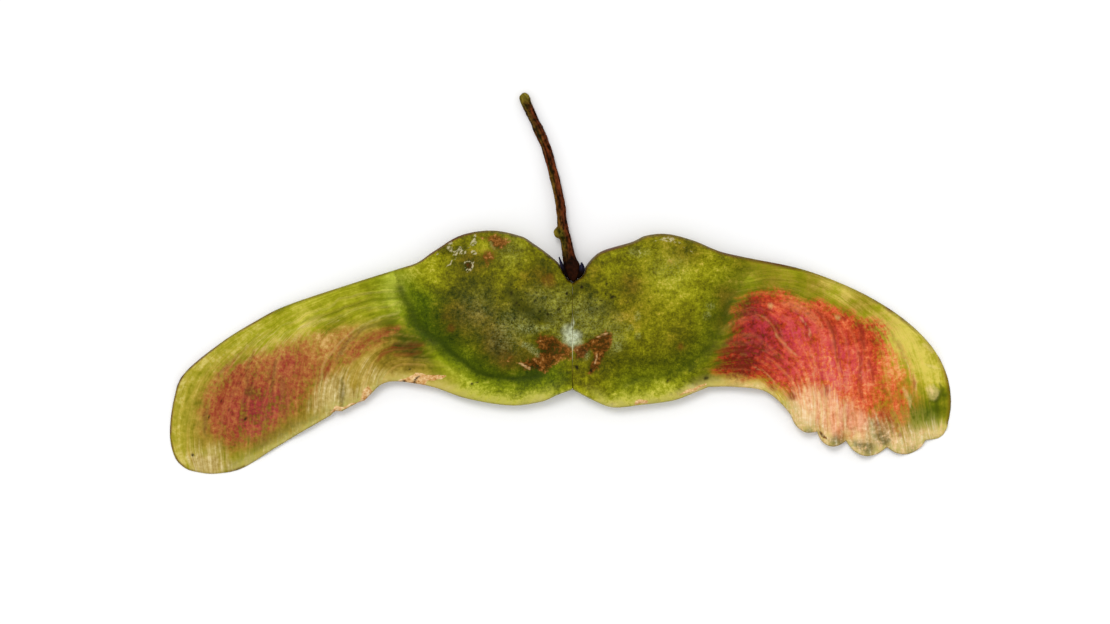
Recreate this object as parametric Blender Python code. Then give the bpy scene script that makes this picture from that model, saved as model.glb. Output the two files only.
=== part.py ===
"""A maple key lying flat: two winged samaras joined along a seam, with their stalk.

Blender 4.5, metres, +Z up. The surface it lies on is z = 0, and the origin is the middle of the
fruit's span on that surface. +X runs along the span and +Y towards the free end of the stalk.

Plan points are in millimetres from the top of the seam, where the stalk joins: x is the distance
outwards from the seam, y is towards the stalk's free end.
"""

import math
from dataclasses import dataclass

import bmesh
import bpy
import numpy as np

MM = 0.001

# Where the top of the seam stands, measured from the middle of the span.
SEAM_TOP_X, SEAM_TOP_Y = 1.2 * MM, 0.62 * MM

# The seam: the flat face that each samara turns to the other, and the column between the two.
SEAM_HALF_GAP = 0.4
SEAM_TOP = -0.45
SEAM_FOOT = -11.35
COLUMN_THICKNESS = 0.6
COLUMN_PROUD = 0.08
COLUMN_ENDS = (0.02, 0.98)

# The nutlet: an oval cushion on each side of the blade, tilted towards the foot of the seam.
NUTLET_CENTRE = (7.25, -2.75)
NUTLET_HALF_LENGTH = 9.0
NUTLET_HALF_WIDTH = 6.8
NUTLET_TILT = math.radians(35)
NUTLET_RISE = 1.15
SHOULDER_RISE = 0.22

# The wing: half the thickness of its blade, the rib along its leading edge, and its veins.
BLADE_HALF = 0.35
RIB_RISE = 0.28
RIB_PEAK = 0.08
VEIN_RISE = 0.075
VEINS = 24
VEINS_FROM = 0.40
VEIN_SWEEP = 0.16

# Heights of the blade's middle, and how much the lowest points are flattened to rest on.
NUTLET_LEVEL = 1.45
TIP_LEVEL = 0.33
WING_CAMBER = 0.40
TRAILING_LIFT = 0.30
REST_CUT = 0.08

# Rows across the blade, from the leading edge to the trailing edge.
ROWS = (0, 0.02, 0.055, 0.11, 0.18, 0.27, 0.37, 0.47, 0.57, 0.67, 0.77, 0.86, 0.94, 1)
NUTLET_COLUMNS = 17


@dataclass
class Samara:
    """One half of the fruit. Its outline runs from the top of the seam, round the tip, to its foot.

    The outline is a list of smooth stretches, and where two of them meet there is a corner.
    """

    name: str
    side: int
    outline: list
    shoulder: tuple
    heel: tuple
    edge_wave: float
    edge_waves: float


def lobe(start, end, depth, steps=8):
    """A rounded lobe of the frilled edge, hanging out by depth from the line between two notches."""
    start, end = np.array(start), np.array(end)
    outwards = np.array([start[1] - end[1], end[0] - start[0]])
    outwards *= depth / np.linalg.norm(outwards)
    turn = np.linspace(0, 1, steps)[:, None]
    return start + (end - start) * turn + outwards * np.sin(np.pi * turn) ** 0.75


# Both samaras begin with the hollow round the foot of the stalk, and end at the foot of the seam.
HOLLOW = [(SEAM_HALF_GAP, SEAM_TOP), (0.9, -0.3), (1.15, 0.2), (1.38, 1.0)]
FOOT = (SEAM_HALF_GAP, SEAM_FOOT)

LEFT = Samara(
    name="samara_left",
    side=-1,
    outline=[
        [
            *HOLLOW, (2.5, 2.4), (3.9, 3.4), (5.2, 4.15), (8.1, 4.7), (11.2, 4.2), (13.9, 2.6), (15.5, 1.5),
            (17.3, 0.9), (21.6, -0.45), (28.5, -2.75), (31.9, -4.45), (35.4, -6.65), (38.9, -9.6),
            (39.95, -12.2), (40.35, -15.6), (39.9, -17.9), (38.9, -19.05), (37.6, -19.5), (35.7, -19.65),
            (33.1, -19.1), (29.9, -17.15), (27.4, -15.65), (24.2, -13.8),
        ],
        [(24.2, -13.8), (23.7, -13.35), (23.1, -13.4)],
        [(23.1, -13.4), (21.6, -12.6), (20.8, -12.3)],
        [
            (20.8, -12.3), (20.0, -11.5), (19.2, -10.75), (18.1, -10.4), (16.4, -10.5), (13.8, -11.0),
            (10.6, -12.1), (6.3, -12.8), (3.2, -12.45), (1.5, -11.75), FOOT,
        ],
    ],
    shoulder=(38.9, -9.6),
    heel=(33.1, -19.1),
    edge_wave=0.10,
    edge_waves=5.0,
)

RIGHT = Samara(
    name="samara_right",
    side=1,
    outline=[
        [
            *HOLLOW, (2.1, 2.05), (3.2, 2.75), (5.9, 3.55), (7.4, 4.2), (9.5, 4.35), (12.1, 3.7), (14.8, 2.6),
            (17.9, 1.9), (23.1, 0.8), (28.3, -1.2), (32.6, -3.7), (35.7, -6.5), (37.4, -9.4), (37.95, -12.4),
            (37.5, -15.1), (36.75, -16.05), (35.4, -16.3),
        ],
        lobe((35.4, -16.3), (31.5, -17.0), 1.05),
        lobe((31.5, -17.0), (27.4, -16.35), 1.2),
        lobe((27.4, -16.35), (24.5, -15.45), 1.0),
        [
            (24.5, -15.45), (23.3, -15.5), (22.3, -14.75), (21.5, -13.3), (19.3, -11.4), (16.2, -10.95),
            (13.6, -10.95),
        ],
        [(13.6, -10.95), (12.5, -11.4), (10.1, -12.3), (6.8, -12.75), (4.1, -13.0), (2.1, -12.3), FOOT],
    ],
    shoulder=(36.5, -7.6),
    heel=(37.5, -15.1),
    edge_wave=0.32,
    edge_waves=7.0,
)

# The stalk's centreline as (x, y, height) and its radius there, from the free end to the seam.
STALK = [
    (-4.92, 18.28, 0.50, 0.18),
    (-4.84, 18.12, 0.50, 0.36),
    (-4.70, 17.70, 0.50, 0.47),
    (-4.38, 16.90, 0.50, 0.47),
    (-3.42, 14.90, 0.52, 0.46),
    (-2.54, 12.85, 0.58, 0.45),
    (-1.83, 10.05, 0.70, 0.45),
    (-1.27, 7.45, 0.88, 0.46),
    (-1.00, 5.40, 1.04, 0.50),
    (-0.62, 3.75, 1.20, 0.55),
    (-0.30, 1.95, 1.36, 0.60),
    (-0.10, 0.75, 1.46, 0.68),
    (-0.02, 0.15, 1.50, 0.60),
    (0.00, -0.15, 1.52, 0.34),
]
STALK_WRINKLE = 0.03
BUD_SCAR = (-1.42, 4.68, 1.12)
BUD_SCAR_RADIUS = 0.36
BUD_SCAR_STRETCH = (0.85, 1.5, 1)

# The two dried sepals beside the foot of the stalk, as (x, y, height, radius) from foot to tip.
SEPALS = {
    "sepal_left": [
        (-0.66, -0.12, 1.96, 0.12),
        (-0.97, 0.40, 2.12, 0.17),
        (-1.22, 1.20, 2.14, 0.17),
        (-1.42, 2.05, 2.10, 0.12),
    ],
    "sepal_right": [
        (0.66, -0.05, 1.96, 0.14),
        (0.86, 0.50, 2.12, 0.23),
        (0.93, 1.10, 2.14, 0.22),
        (0.96, 1.60, 2.10, 0.12),
    ],
}

COLOURS = {
    "samara_left": ((0.42, 0.44, 0.10), 0.55),
    "samara_right": ((0.55, 0.36, 0.14), 0.55),
    "stalk": ((0.20, 0.08, 0.04), 0.75),
    "column": ((0.72, 0.74, 0.60), 0.70),
    "sepal": ((0.05, 0.05, 0.09), 0.80),
}


def clear_scene():
    for obj in list(bpy.data.objects):
        bpy.data.objects.remove(obj)


def material(name):
    """A Principled BSDF of the named colour."""
    (colour, roughness) = COLOURS[name]
    made = bpy.data.materials.new(name)
    made.use_nodes = True
    shader = made.node_tree.nodes["Principled BSDF"]
    shader.inputs["Base Color"].default_value = (*colour, 1)
    shader.inputs["Roughness"].default_value = roughness
    shader.inputs["Metallic"].default_value = 0
    return made


def smooth_step(low, high, x):
    """0 below low, 1 above high, and an even curve between them."""
    t = np.clip((x - low) / (high - low), 0, 1)
    return t * t * (3 - 2 * t)


def smooth_path(points, per_span=12):
    """A smooth curve through the points, as a dense line that keeps both ends."""
    p = np.array(points, float)
    p = np.vstack([2 * p[0] - p[1], p, 2 * p[-1] - p[-2]])
    t = np.linspace(0, 1, per_span, endpoint=False)[:, None]
    spans = [
        b + 0.5 * t * (c - a + t * (2 * a - 5 * b + 4 * c - d + t * (3 * (b - c) + d - a)))
        for a, b, c, d in zip(p, p[1:], p[2:], p[3:])
    ]
    return np.vstack([*spans, p[-2:-1]])


def length_shares(path):
    """How far along the path each of its points lies, from 0 to 1."""
    steps = np.linalg.norm(np.diff(path, axis=0), axis=1)
    lengths = np.concatenate([[0], np.cumsum(steps)])
    return lengths / lengths[-1]


def point_along(path, share):
    """The points at these shares of the path's length."""
    shares = length_shares(path)
    return np.stack([np.interp(share, shares, path[:, k]) for k in range(path.shape[1])], axis=-1)


def nearest(path, point):
    return int(np.argmin(np.linalg.norm(path - np.array(point), axis=1)))


def edges_of(samara):
    """The samara's leading edge, the round of its tip, and its trailing edge, each from the seam's side."""
    outline = np.vstack([smooth_path(stretch) for stretch in samara.outline])
    shoulder, heel = nearest(outline, samara.shoulder), nearest(outline, samara.heel)
    return outline[: shoulder + 1], outline[shoulder : heel + 1], outline[heel:][::-1]


def corner_shares(samara, trailing):
    """Where the trailing edge has its corners, as shares of its length."""
    corners = [stretch[0] for stretch in samara.outline[1:]]
    shares = length_shares(trailing)[[nearest(trailing, corner) for corner in corners]]
    return np.sort(shares[shares < 1])


def pinned(columns, corners):
    """Shares of the trailing edge for these columns, shifted so that every corner has a column on it."""
    held = [int(np.argmin(np.abs(columns - corner))) for corner in corners]
    return np.interp(columns, [0, *columns[held], 1], [0, *corners, 1])


def swept(vein, across):
    """How far out along the samara a vein has come at this crossing: veins lean towards the tip."""
    out = np.clip((vein - 0.2) / 0.8, 0, 1)
    return vein + VEIN_SWEEP * 4 * out * (1 - out) * np.sqrt(across)


def plan_of(samara, vein, across):
    """Plan points of the blade, spread evenly between its four edges, and how far out each lies."""
    leading, tip, trailing = edges_of(samara)
    out = swept(vein, across)
    ends = swept(vein[:, 0], 1)
    foot_share = np.interp(out, ends, pinned(ends, corner_shares(samara, trailing)))
    top, foot = point_along(leading, out), point_along(trailing, foot_share)
    seam, end = point_along(np.array([leading[0], trailing[0]]), across), point_along(tip, across)
    u, v = out[..., None], np.broadcast_to(across, out.shape)[..., None]
    upper_chord = (1 - u) * leading[0] + u * leading[-1]
    lower_chord = (1 - u) * trailing[0] + u * trailing[-1]
    along, crosswise = (1 - v) * top + v * foot, (1 - u) * seam + u * end
    return along + crosswise - (1 - v) * upper_chord - v * lower_chord, out


def nutlet_swell(plan):
    """1 at the middle of the nutlet, falling to 0 at the crease round it."""
    x, y = plan[..., 0] - NUTLET_CENTRE[0], plan[..., 1] - NUTLET_CENTRE[1]
    lengthwise = (-x * math.cos(NUTLET_TILT) + y * math.sin(NUTLET_TILT)) / NUTLET_HALF_LENGTH
    crosswise = (x * math.sin(NUTLET_TILT) + y * math.cos(NUTLET_TILT)) / NUTLET_HALF_WIDTH
    return np.clip(1 - lengthwise**2 - crosswise**2, 0, 1) ** 0.75


def half_thickness(plan, vein, across, out):
    """Half the blade, with the nutlet's cushion, the seam's shoulder, the leading rib and the veins."""
    swell = nutlet_swell(plan)
    shoulder = SHOULDER_RISE * (1 - smooth_step(0.5, 4.0, plan[..., 0])) * smooth_step(0, 0.12, 1 - across)
    rib = RIB_RISE * across / RIB_PEAK * np.exp(1 - across / RIB_PEAK)
    beat = (vein - VEINS_FROM) / (1 - VEINS_FROM) * VEINS
    crest = 1 - 2 * np.abs(beat - np.floor(beat) - 0.5)
    on_wing = smooth_step(VEINS_FROM - 0.02, VEINS_FROM + 0.06, out) * (1 - smooth_step(0, 0.15, swell))
    veins = VEIN_RISE * crest * on_wing * smooth_step(0.1, 0.3, across) * smooth_step(0, 0.02, 1 - vein)
    return BLADE_HALF + NUTLET_RISE * swell + shoulder + rib * smooth_step(0.02, 0.2, out) + veins


def middle_height(samara, half, across, out):
    """The height of the blade's middle: level under the nutlet, arched on the wing, down at its tip."""
    wing = np.clip((out - 0.4) / 0.6, 0, 1)
    level = NUTLET_LEVEL + (TIP_LEVEL - NUTLET_LEVEL) * smooth_step(0.36, 1, out)
    camber = WING_CAMBER * np.sin(np.pi * wing) * np.sin(np.pi * across)
    lift = TRAILING_LIFT * np.sin(np.pi * wing) * across**2
    wave = samara.edge_wave * np.sin(2 * np.pi * samara.edge_waves * wing) * across**3
    return np.maximum(level + camber + lift + wave * np.sin(np.pi * wing) ** 0.5, half - REST_CUT)


def faces_of(upper, flip):
    """Triangles of two sheets of points that share their layout, walled in on all four sides."""
    columns, rows = upper.shape[:2]
    index = np.arange(columns * rows).reshape(columns, rows)
    a, b, c, d = index[:-1, :-1], index[1:, :-1], index[1:, 1:], index[:-1, 1:]
    top = np.stack([np.stack([a, b, c], -1), np.stack([a, c, d], -1)], 2).reshape(-1, 3)
    rim = np.concatenate([index[:, 0], index[-1, 1:], index[-2::-1, -1], index[0, -2:0:-1]])
    following, below = np.roll(rim, -1), columns * rows
    wall = np.concatenate([
        np.stack([rim, rim + below, following + below], -1),
        np.stack([rim, following + below, following], -1),
    ])
    faces = np.concatenate([top, top[:, ::-1] + below, wall])
    return faces[:, ::-1] if flip else faces


def add_mesh(name, points, faces, colour):
    mesh = bpy.data.meshes.new(name)
    mesh.from_pydata(points.tolist(), [], faces.tolist())
    mesh.materials.append(material(colour))
    mesh.shade_smooth()
    mesh.set_sharp_from_angle(angle=math.radians(50))
    return add_object(name, mesh)


def add_object(name, data, collection="maple_key"):
    obj = bpy.data.objects.new(name, data)
    bpy.data.collections[collection].objects.link(obj)
    obj.location = (SEAM_TOP_X, SEAM_TOP_Y, 0)
    return obj


def vein_columns():
    """One column on each vein's crest and one between it and the next, wider apart under the nutlet."""
    nutlet = np.linspace(0, VEINS_FROM, NUTLET_COLUMNS, endpoint=False)
    return np.concatenate([nutlet, np.linspace(VEINS_FROM, 1, 2 * VEINS + 1)])[:, None]


def add_samara(samara):
    vein, across = vein_columns(), np.array([ROWS])
    plan, out = plan_of(samara, vein, across)
    half = half_thickness(plan, vein, across, out)
    middle = middle_height(samara, half, across, out)
    x = samara.side * plan[..., 0]
    upper = np.stack([x, plan[..., 1], middle + half], -1)
    lower = np.stack([x, plan[..., 1], np.maximum(middle - half, 0)], -1)
    points = np.concatenate([upper.reshape(-1, 3), lower.reshape(-1, 3)]) * MM
    add_mesh(samara.name, points, faces_of(upper, flip=samara.side > 0), samara.name)


def tube_curve(name, stations, bevel_resolution, points):
    """A tube along a smooth line through stations of (x, y, height, radius)."""
    line = point_along(smooth_path(stations), np.linspace(0, 1, points))
    curve = bpy.data.curves.new(name, "CURVE")
    curve.dimensions = "3D"
    curve.bevel_depth = MM
    curve.bevel_resolution = bevel_resolution
    curve.use_fill_caps = True
    spline = curve.splines.new("POLY")
    spline.points.add(points - 1)
    for point, (x, y, z, radius) in zip(spline.points, line):
        point.co = (x * MM, y * MM, z * MM, 1)
        point.radius = radius
    return curve


def mesh_from_curve(name, curve, colour):
    """The tube as one closed mesh, with its caps welded on."""
    source = bpy.data.objects.new(name + "_line", curve)
    bpy.context.scene.collection.objects.link(source)
    graph = bpy.context.evaluated_depsgraph_get()
    mesh = bpy.data.meshes.new_from_object(source.evaluated_get(graph))
    bpy.data.objects.remove(source)
    mesh.name = name
    cleaned = bmesh.new()
    cleaned.from_mesh(mesh)
    bmesh.ops.remove_doubles(cleaned, verts=cleaned.verts, dist=0.001 * MM)
    bmesh.ops.recalc_face_normals(cleaned, faces=cleaned.faces)
    cleaned.to_mesh(mesh)
    cleaned.free()
    mesh.materials.clear()
    mesh.materials.append(material(colour))
    mesh.shade_smooth()
    return add_object(name, mesh)


def wrinkle(mesh):
    """Raises wrinkles on the stalk that wind slowly round it."""
    normals = [vertex.normal.copy() for vertex in mesh.vertices]
    for vertex, normal in zip(mesh.vertices, normals):
        along = vertex.co.y / MM
        around = math.atan2(normal.z, normal.x)
        ripple = math.sin(5 * around + 0.6 * along) + 0.7 * math.sin(2.3 * along + 2 * around)
        vertex.co += normal * (STALK_WRINKLE * MM * ripple)


def bud_scar():
    """The small swelling on the left of the stalk, as a closed shape to join to it."""
    mesh = bpy.data.meshes.new("bud_scar")
    ball = bmesh.new()
    bmesh.ops.create_uvsphere(ball, u_segments=12, v_segments=8, radius=BUD_SCAR_RADIUS * MM)
    bmesh.ops.scale(ball, verts=ball.verts, vec=BUD_SCAR_STRETCH)
    bmesh.ops.translate(ball, verts=ball.verts, vec=[MM * value for value in BUD_SCAR])
    ball.to_mesh(mesh)
    ball.free()
    scar = add_object("bud_scar", mesh, "cutters")
    scar.hide_render = True
    scar.display_type = "WIRE"
    return scar


def add_stalk():
    stalk = mesh_from_curve("stalk", tube_curve("stalk", STALK, 4, 40), "stalk")
    wrinkle(stalk.data)
    join = stalk.modifiers.new("bud_scar", "BOOLEAN")
    join.operation = "UNION"
    join.solver = "EXACT"
    join.object = bud_scar()


def add_sepals():
    for name, stations in SEPALS.items():
        mesh_from_curve(name, tube_curve(name, stations, 2, 9), "sepal")


def add_column():
    """The thin column between the samaras, standing a little proud of the seam above and below."""
    across = np.linspace(*COLUMN_ENDS, 24)
    y = SEAM_TOP + (SEAM_FOOT - SEAM_TOP) * across
    plan = np.stack([np.full_like(y, SEAM_HALF_GAP), y], -1)
    nowhere = np.zeros_like(across)
    half = half_thickness(plan, nowhere, across, nowhere) + COLUMN_PROUD
    outline = [(NUTLET_LEVEL + h, depth) for h, depth in zip(half, y)]
    outline += [(NUTLET_LEVEL - h, depth) for h, depth in zip(half[::-1], y[::-1])]
    curve = bpy.data.curves.new("column", "CURVE")
    curve.dimensions = "2D"
    curve.fill_mode = "BOTH"
    curve.extrude = COLUMN_THICKNESS / 2 * MM
    spline = curve.splines.new("POLY")
    spline.points.add(len(outline) - 1)
    spline.use_cyclic_u = True
    for point, (height, depth) in zip(spline.points, outline):
        point.co = (height * MM, depth * MM, 0, 1)
    curve.materials.append(material("column"))
    add_object("column", curve).rotation_euler = (0, -math.pi / 2, 0)


def build():
    clear_scene()
    for name in ("maple_key", "cutters"):
        bpy.context.scene.collection.children.link(bpy.data.collections.new(name))
    add_samara(LEFT)
    add_samara(RIGHT)
    add_stalk()
    add_sepals()
    add_column()


build()
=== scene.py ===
import math
from dataclasses import dataclass
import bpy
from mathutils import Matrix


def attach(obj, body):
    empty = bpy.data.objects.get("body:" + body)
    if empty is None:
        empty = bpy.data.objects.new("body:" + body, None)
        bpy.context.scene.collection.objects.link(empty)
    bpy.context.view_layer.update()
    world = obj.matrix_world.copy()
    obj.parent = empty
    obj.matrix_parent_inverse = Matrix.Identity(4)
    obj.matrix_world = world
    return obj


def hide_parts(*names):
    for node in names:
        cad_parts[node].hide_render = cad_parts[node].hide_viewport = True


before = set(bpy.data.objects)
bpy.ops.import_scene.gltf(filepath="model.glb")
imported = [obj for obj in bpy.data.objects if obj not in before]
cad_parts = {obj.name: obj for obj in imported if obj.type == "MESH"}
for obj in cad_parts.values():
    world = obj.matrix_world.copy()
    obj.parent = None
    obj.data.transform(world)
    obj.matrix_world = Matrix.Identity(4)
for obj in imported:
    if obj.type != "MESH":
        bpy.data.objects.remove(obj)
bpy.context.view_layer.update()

from types import SimpleNamespace

import bpy
import numpy as np

MM = 0.001

# Plan points are in millimetres from the top of the seam, as in the solids: x is the distance outwards
# from the seam and y is towards the stalk's free end. This is where the top of the seam stands.
SEAM_TOP = (1.2, 0.62)
SEAM_GAP = 0.03
SEAM_START = -0.45
SEAM_FOOT = -11.2

# The nutlet's oval cushion.
NUTLET_CENTRE = (7.25, -2.75)
NUTLET_HALF_LENGTH = 9.0
NUTLET_HALF_WIDTH = 6.8
NUTLET_TILT = math.radians(35)
NUTLET_RISE = 1.15
SHOULDER_RISE = 0.22

# Half the thickness of the solids' blade, and the rib along its leading edge. The rib's peak is a share
# of the way across the blade.
SOLID_BLADE_HALF = 0.35
SOLID_RIB_RISE = 0.28
SOLID_RIB_PEAK = 0.08

# The same for the thinner skin that is shown, with what it has more on the nutlet.
BLADE_HALF = 0.14
SKIN_EXTRA = 0.12
RIB_RISE = 0.30
RIB_PEAK = 0.06
ROUNDED_EDGE = 0.3
THINNEST = 0.03

# The lean of the grid's columns to the tip, and the power that rounds off the nutlet's swelling.
GRID_SWEEP = 0.16
SWELL_POWER = 0.75

# Heights of the blade's middle in the solids.
NUTLET_LEVEL = 1.45
TIP_LEVEL = 0.33
WING_CAMBER = 0.40
TRAILING_LIFT = 0.30
REST_CUT = 0.08

# Relief of the skin, in millimetres.
CREASE_DEPTH = 0.34
FLANGE_RISE = 0.12
FOLD_RISE = 0.10
EDGE_CURL = 0.16
MARK_RISES = {
    "vein": 0.03, "light": 0.03, "ember": -0.015, "dark": -0.02, "rust": -0.06, "crust": 0.07, "tan": 0.10,
}
GRAIN_RELIEF = 0.08

# The middle of the neck, from which distances out along the wing are measured.
NECK_CENTRE = (15.0, -4.0)

# Half a vein's width, the place and width of the red glow beside it, and how far noise makes veins and
# marks stray.
VEIN_HALF_WIDTH = 0.11
EMBER_GAP = 0.28
EMBER_WIDTH = 0.18
VEIN_WARP = 0.10
MARK_WARP = 0.30

# The grid of points of each samara.
COLUMNS = 384
ROWS = 120

# Noise: the size of its lattice, and how much weaker each finer layer is.
LATTICE = (97, 89)
LAYER_FADE = 0.55

# Where the skin's noises are read: clear of their origin, elsewhere for the underside, and with this
# distance between neighbouring veins.
NOISE_SHIFT = 50
UNDERSIDE_SHIFT = 7
VEIN_SPACING = 2.2

# The camera's place in millimetres, straight above the fruit.
CAMERA_PLACE = (-0.545, -2.83, 463.7)


# Marks: each gives its strength at plan points.


def smooth_step(low, high, x):
    """0 below low, 1 above high, and an even curve between them."""
    t = np.clip((x - low) / (high - low), 0, 1)
    return t * t * (3 - 2 * t)


def smooth_path(points, per_span=12):
    """A smooth curve through the points, as a dense line that keeps both ends."""
    p = np.array(points, float)
    p = np.vstack([2 * p[0] - p[1], p, 2 * p[-1] - p[-2]])
    t = np.linspace(0, 1, per_span, endpoint=False)[:, None]
    spans = [
        b + 0.5 * t * (c - a + t * (2 * a - 5 * b + 4 * c - d + t * (3 * (b - c) + d - a)))
        for a, b, c, d in zip(p, p[1:], p[2:], p[3:])
    ]
    return np.vstack([*spans, p[-2:-1]])


def signed_gap(plan, path):
    """How far each plan point is from a line; above 0 on the left of the line's direction."""
    gap = np.full(plan.shape[:-1], np.inf)
    side = np.ones(plan.shape[:-1])
    for start, end in zip(path[:-1], path[1:]):
        along = end - start
        away = plan - start
        share = np.clip(away @ along / max(along @ along, 1e-12), 0, 1)
        found = np.linalg.norm(away - share[..., None] * along, axis=-1)
        closer = found < gap
        gap = np.where(closer, found, gap)
        side = np.where(closer, np.sign(along[0] * away[..., 1] - along[1] * away[..., 0]), side)
    return gap * side


def is_inside(plan, corners):
    x, y = plan[..., 0], plan[..., 1]
    inside = np.zeros(plan.shape[:-1], bool)
    for (x0, y0), (x1, y1) in zip(corners, np.roll(corners, -1, axis=0)):
        if y0 != y1:
            inside ^= ((y0 > y) != (y1 > y)) & (x < (x1 - x0) * (y - y0) / (y1 - y0) + x0)
    return inside


def area(corners, soft, strength=1.0):
    """A patch that fades over soft millimetres on each side of its corners' line."""
    corners = np.array(corners, float)

    def at(plan):
        gap = np.abs(signed_gap(plan, np.vstack([corners, corners[:1]])))
        return strength * smooth_step(-soft, soft, np.where(is_inside(plan, corners), gap, -gap))

    return at


def line(points, width, strength=1.0, soft=0.7):
    """A stroke along the points, tapering to both ends; soft is the share of its width that fades."""
    path = smooth_path(points, 4) if len(points) > 2 else np.array(points, float)

    def at(plan):
        ends = np.minimum(*(np.linalg.norm(plan - path[k], axis=-1) for k in (0, -1)))
        reach = width / 2 * (0.45 + 0.55 * smooth_step(0, 2 * width, ends))
        gap = np.abs(signed_gap(plan, path))
        return strength * (1 - smooth_step(1 - soft, 1 + soft, gap / reach))

    return at


def dot(x, y, radius, strength=1.0, soft=0.6):
    def at(plan):
        gap = np.linalg.norm(plan - np.array([x, y]), axis=-1)
        return strength * (1 - smooth_step(1 - soft, 1 + soft, gap / radius))

    return at


def ring(x, y, radius, thick=0.13):
    """A fine round line, strongest on the line itself."""
    def at(plan):
        off = np.hypot(plan[..., 0] - x, plan[..., 1] - y) - radius
        return np.exp(-((off / thick) ** 2))

    return at


def glow(x, y, radius, strength):
    """A broad lighter or darker place, without an edge."""
    return lambda plan: strength * np.exp(-((np.linalg.norm(plan - np.array([x, y]), axis=-1) / radius) ** 2))


def even(strength):
    return lambda plan: np.full(plan.shape[:-1], strength)


RIGHT_TIP_BUMP = dot(36.1, -11.4, 0.6, 0.35, 0.9)


def cloud(x, y, seed):
    """Smooth noise from -1 to 1, with a swell about every unit."""
    lattice = np.random.default_rng(seed).uniform(-1, 1, LATTICE)
    column, row = np.floor(x).astype(int), np.floor(y).astype(int)
    fx, fy = smooth_step(0, 1, x - column), smooth_step(0, 1, y - row)

    def corner(right, up):
        return lattice[(column + right) % LATTICE[0], (row + up) % LATTICE[1]]

    low = corner(0, 0) * (1 - fx) + corner(1, 0) * fx
    high = corner(0, 1) * (1 - fx) + corner(1, 1) * fx
    return low * (1 - fy) + high * fy


def clouds(x, y, seed, octaves=3):
    """Layers of smooth noise, each twice as fine and about half as strong as the one before."""
    total = sum(LAYER_FADE**k * cloud(x * 2**k, y * 2**k, seed + 31 * k) for k in range(octaves))
    return total / sum(LAYER_FADE**k for k in range(octaves))


# The two samaras.
#
# Their marks by name: lush, brown and sage tint the ground, glow makes it lighter or darker, and pale is
# cream; glow's darker places by the crease and the nutlet's wrinkles are painted shade. Red is the flush,
# with tone for how light it is, magenta for pink, and ember for red beside veins. Dark and light are
# strokes: a few dark ones are painted shade of wrinkles, a fold and the seam, and a light dot on the right
# tip's bump is a painted highlight. Bloom and frost are thin and thick white powder, and speck is its pits.
# Rust, tan and crust are patches, dots are the darkest spots, and bare is where the rim is missing.


@dataclass
class Samara:
    """One half of the fruit: its outline in plan, the run of its veins, and the marks on its skin."""

    name: str
    side: int
    seed: int
    outline: list
    shoulder: tuple
    heel: tuple
    edge_wave: float
    edge_waves: float
    veins: list
    crease: list
    neck: list
    band_depth: tuple
    margin: float
    rim: float
    lush: float
    crease_shade_tones: tuple
    marks: dict
    reds: list
    tans: list
    creams: list


def lobe(start, end, depth, steps=8):
    """A rounded lobe of the frilled edge, hanging out by depth from the line between two notches."""
    start, end = np.array(start, float), np.array(end, float)
    outwards = np.array([start[1] - end[1], end[0] - start[0]])
    outwards *= depth / np.linalg.norm(outwards)
    turn = np.linspace(0, 1, steps)[:, None]
    return start + (end - start) * turn + outwards * np.sin(np.pi * turn) ** 0.75


SEAM_END = (SEAM_GAP, SEAM_START)
FOOT = (SEAM_GAP, SEAM_FOOT)

LEFT_OUTLINE = [
    [SEAM_END, (0.35, -0.28), (0.7, 0.25), (1.02, 0.85), (1.45, 1.5), (2.5, 2.4), (3.9, 3.4), (5.2, 4.15),
        (8.1, 4.7), (11.2, 4.2), (13.9, 2.6), (15.5, 1.5), (17.3, 0.9), (21.6, -0.45), (28.5, -2.75),
        (31.9, -4.45), (35.4, -6.65), (38.9, -9.6), (39.95, -12.2), (40.35, -15.6), (39.9, -17.9),
        (38.9, -19.05), (37.6, -19.5), (35.7, -19.65), (33.1, -19.1), (29.9, -17.15), (27.4, -15.65),
        (24.2, -13.8)],
    [(24.2, -13.8), (23.7, -13.35), (23.1, -13.4)], [(23.1, -13.4), (21.6, -12.6), (20.8, -12.3)],
    [(20.8, -12.3), (20, -11.5), (19.2, -10.75), (18.1, -10.4), (16.4, -10.5), (13.8, -11), (10.6, -12.1),
        (6.3, -12.8), (3.2, -12.45), (1.5, -11.75), FOOT],
]

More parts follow.
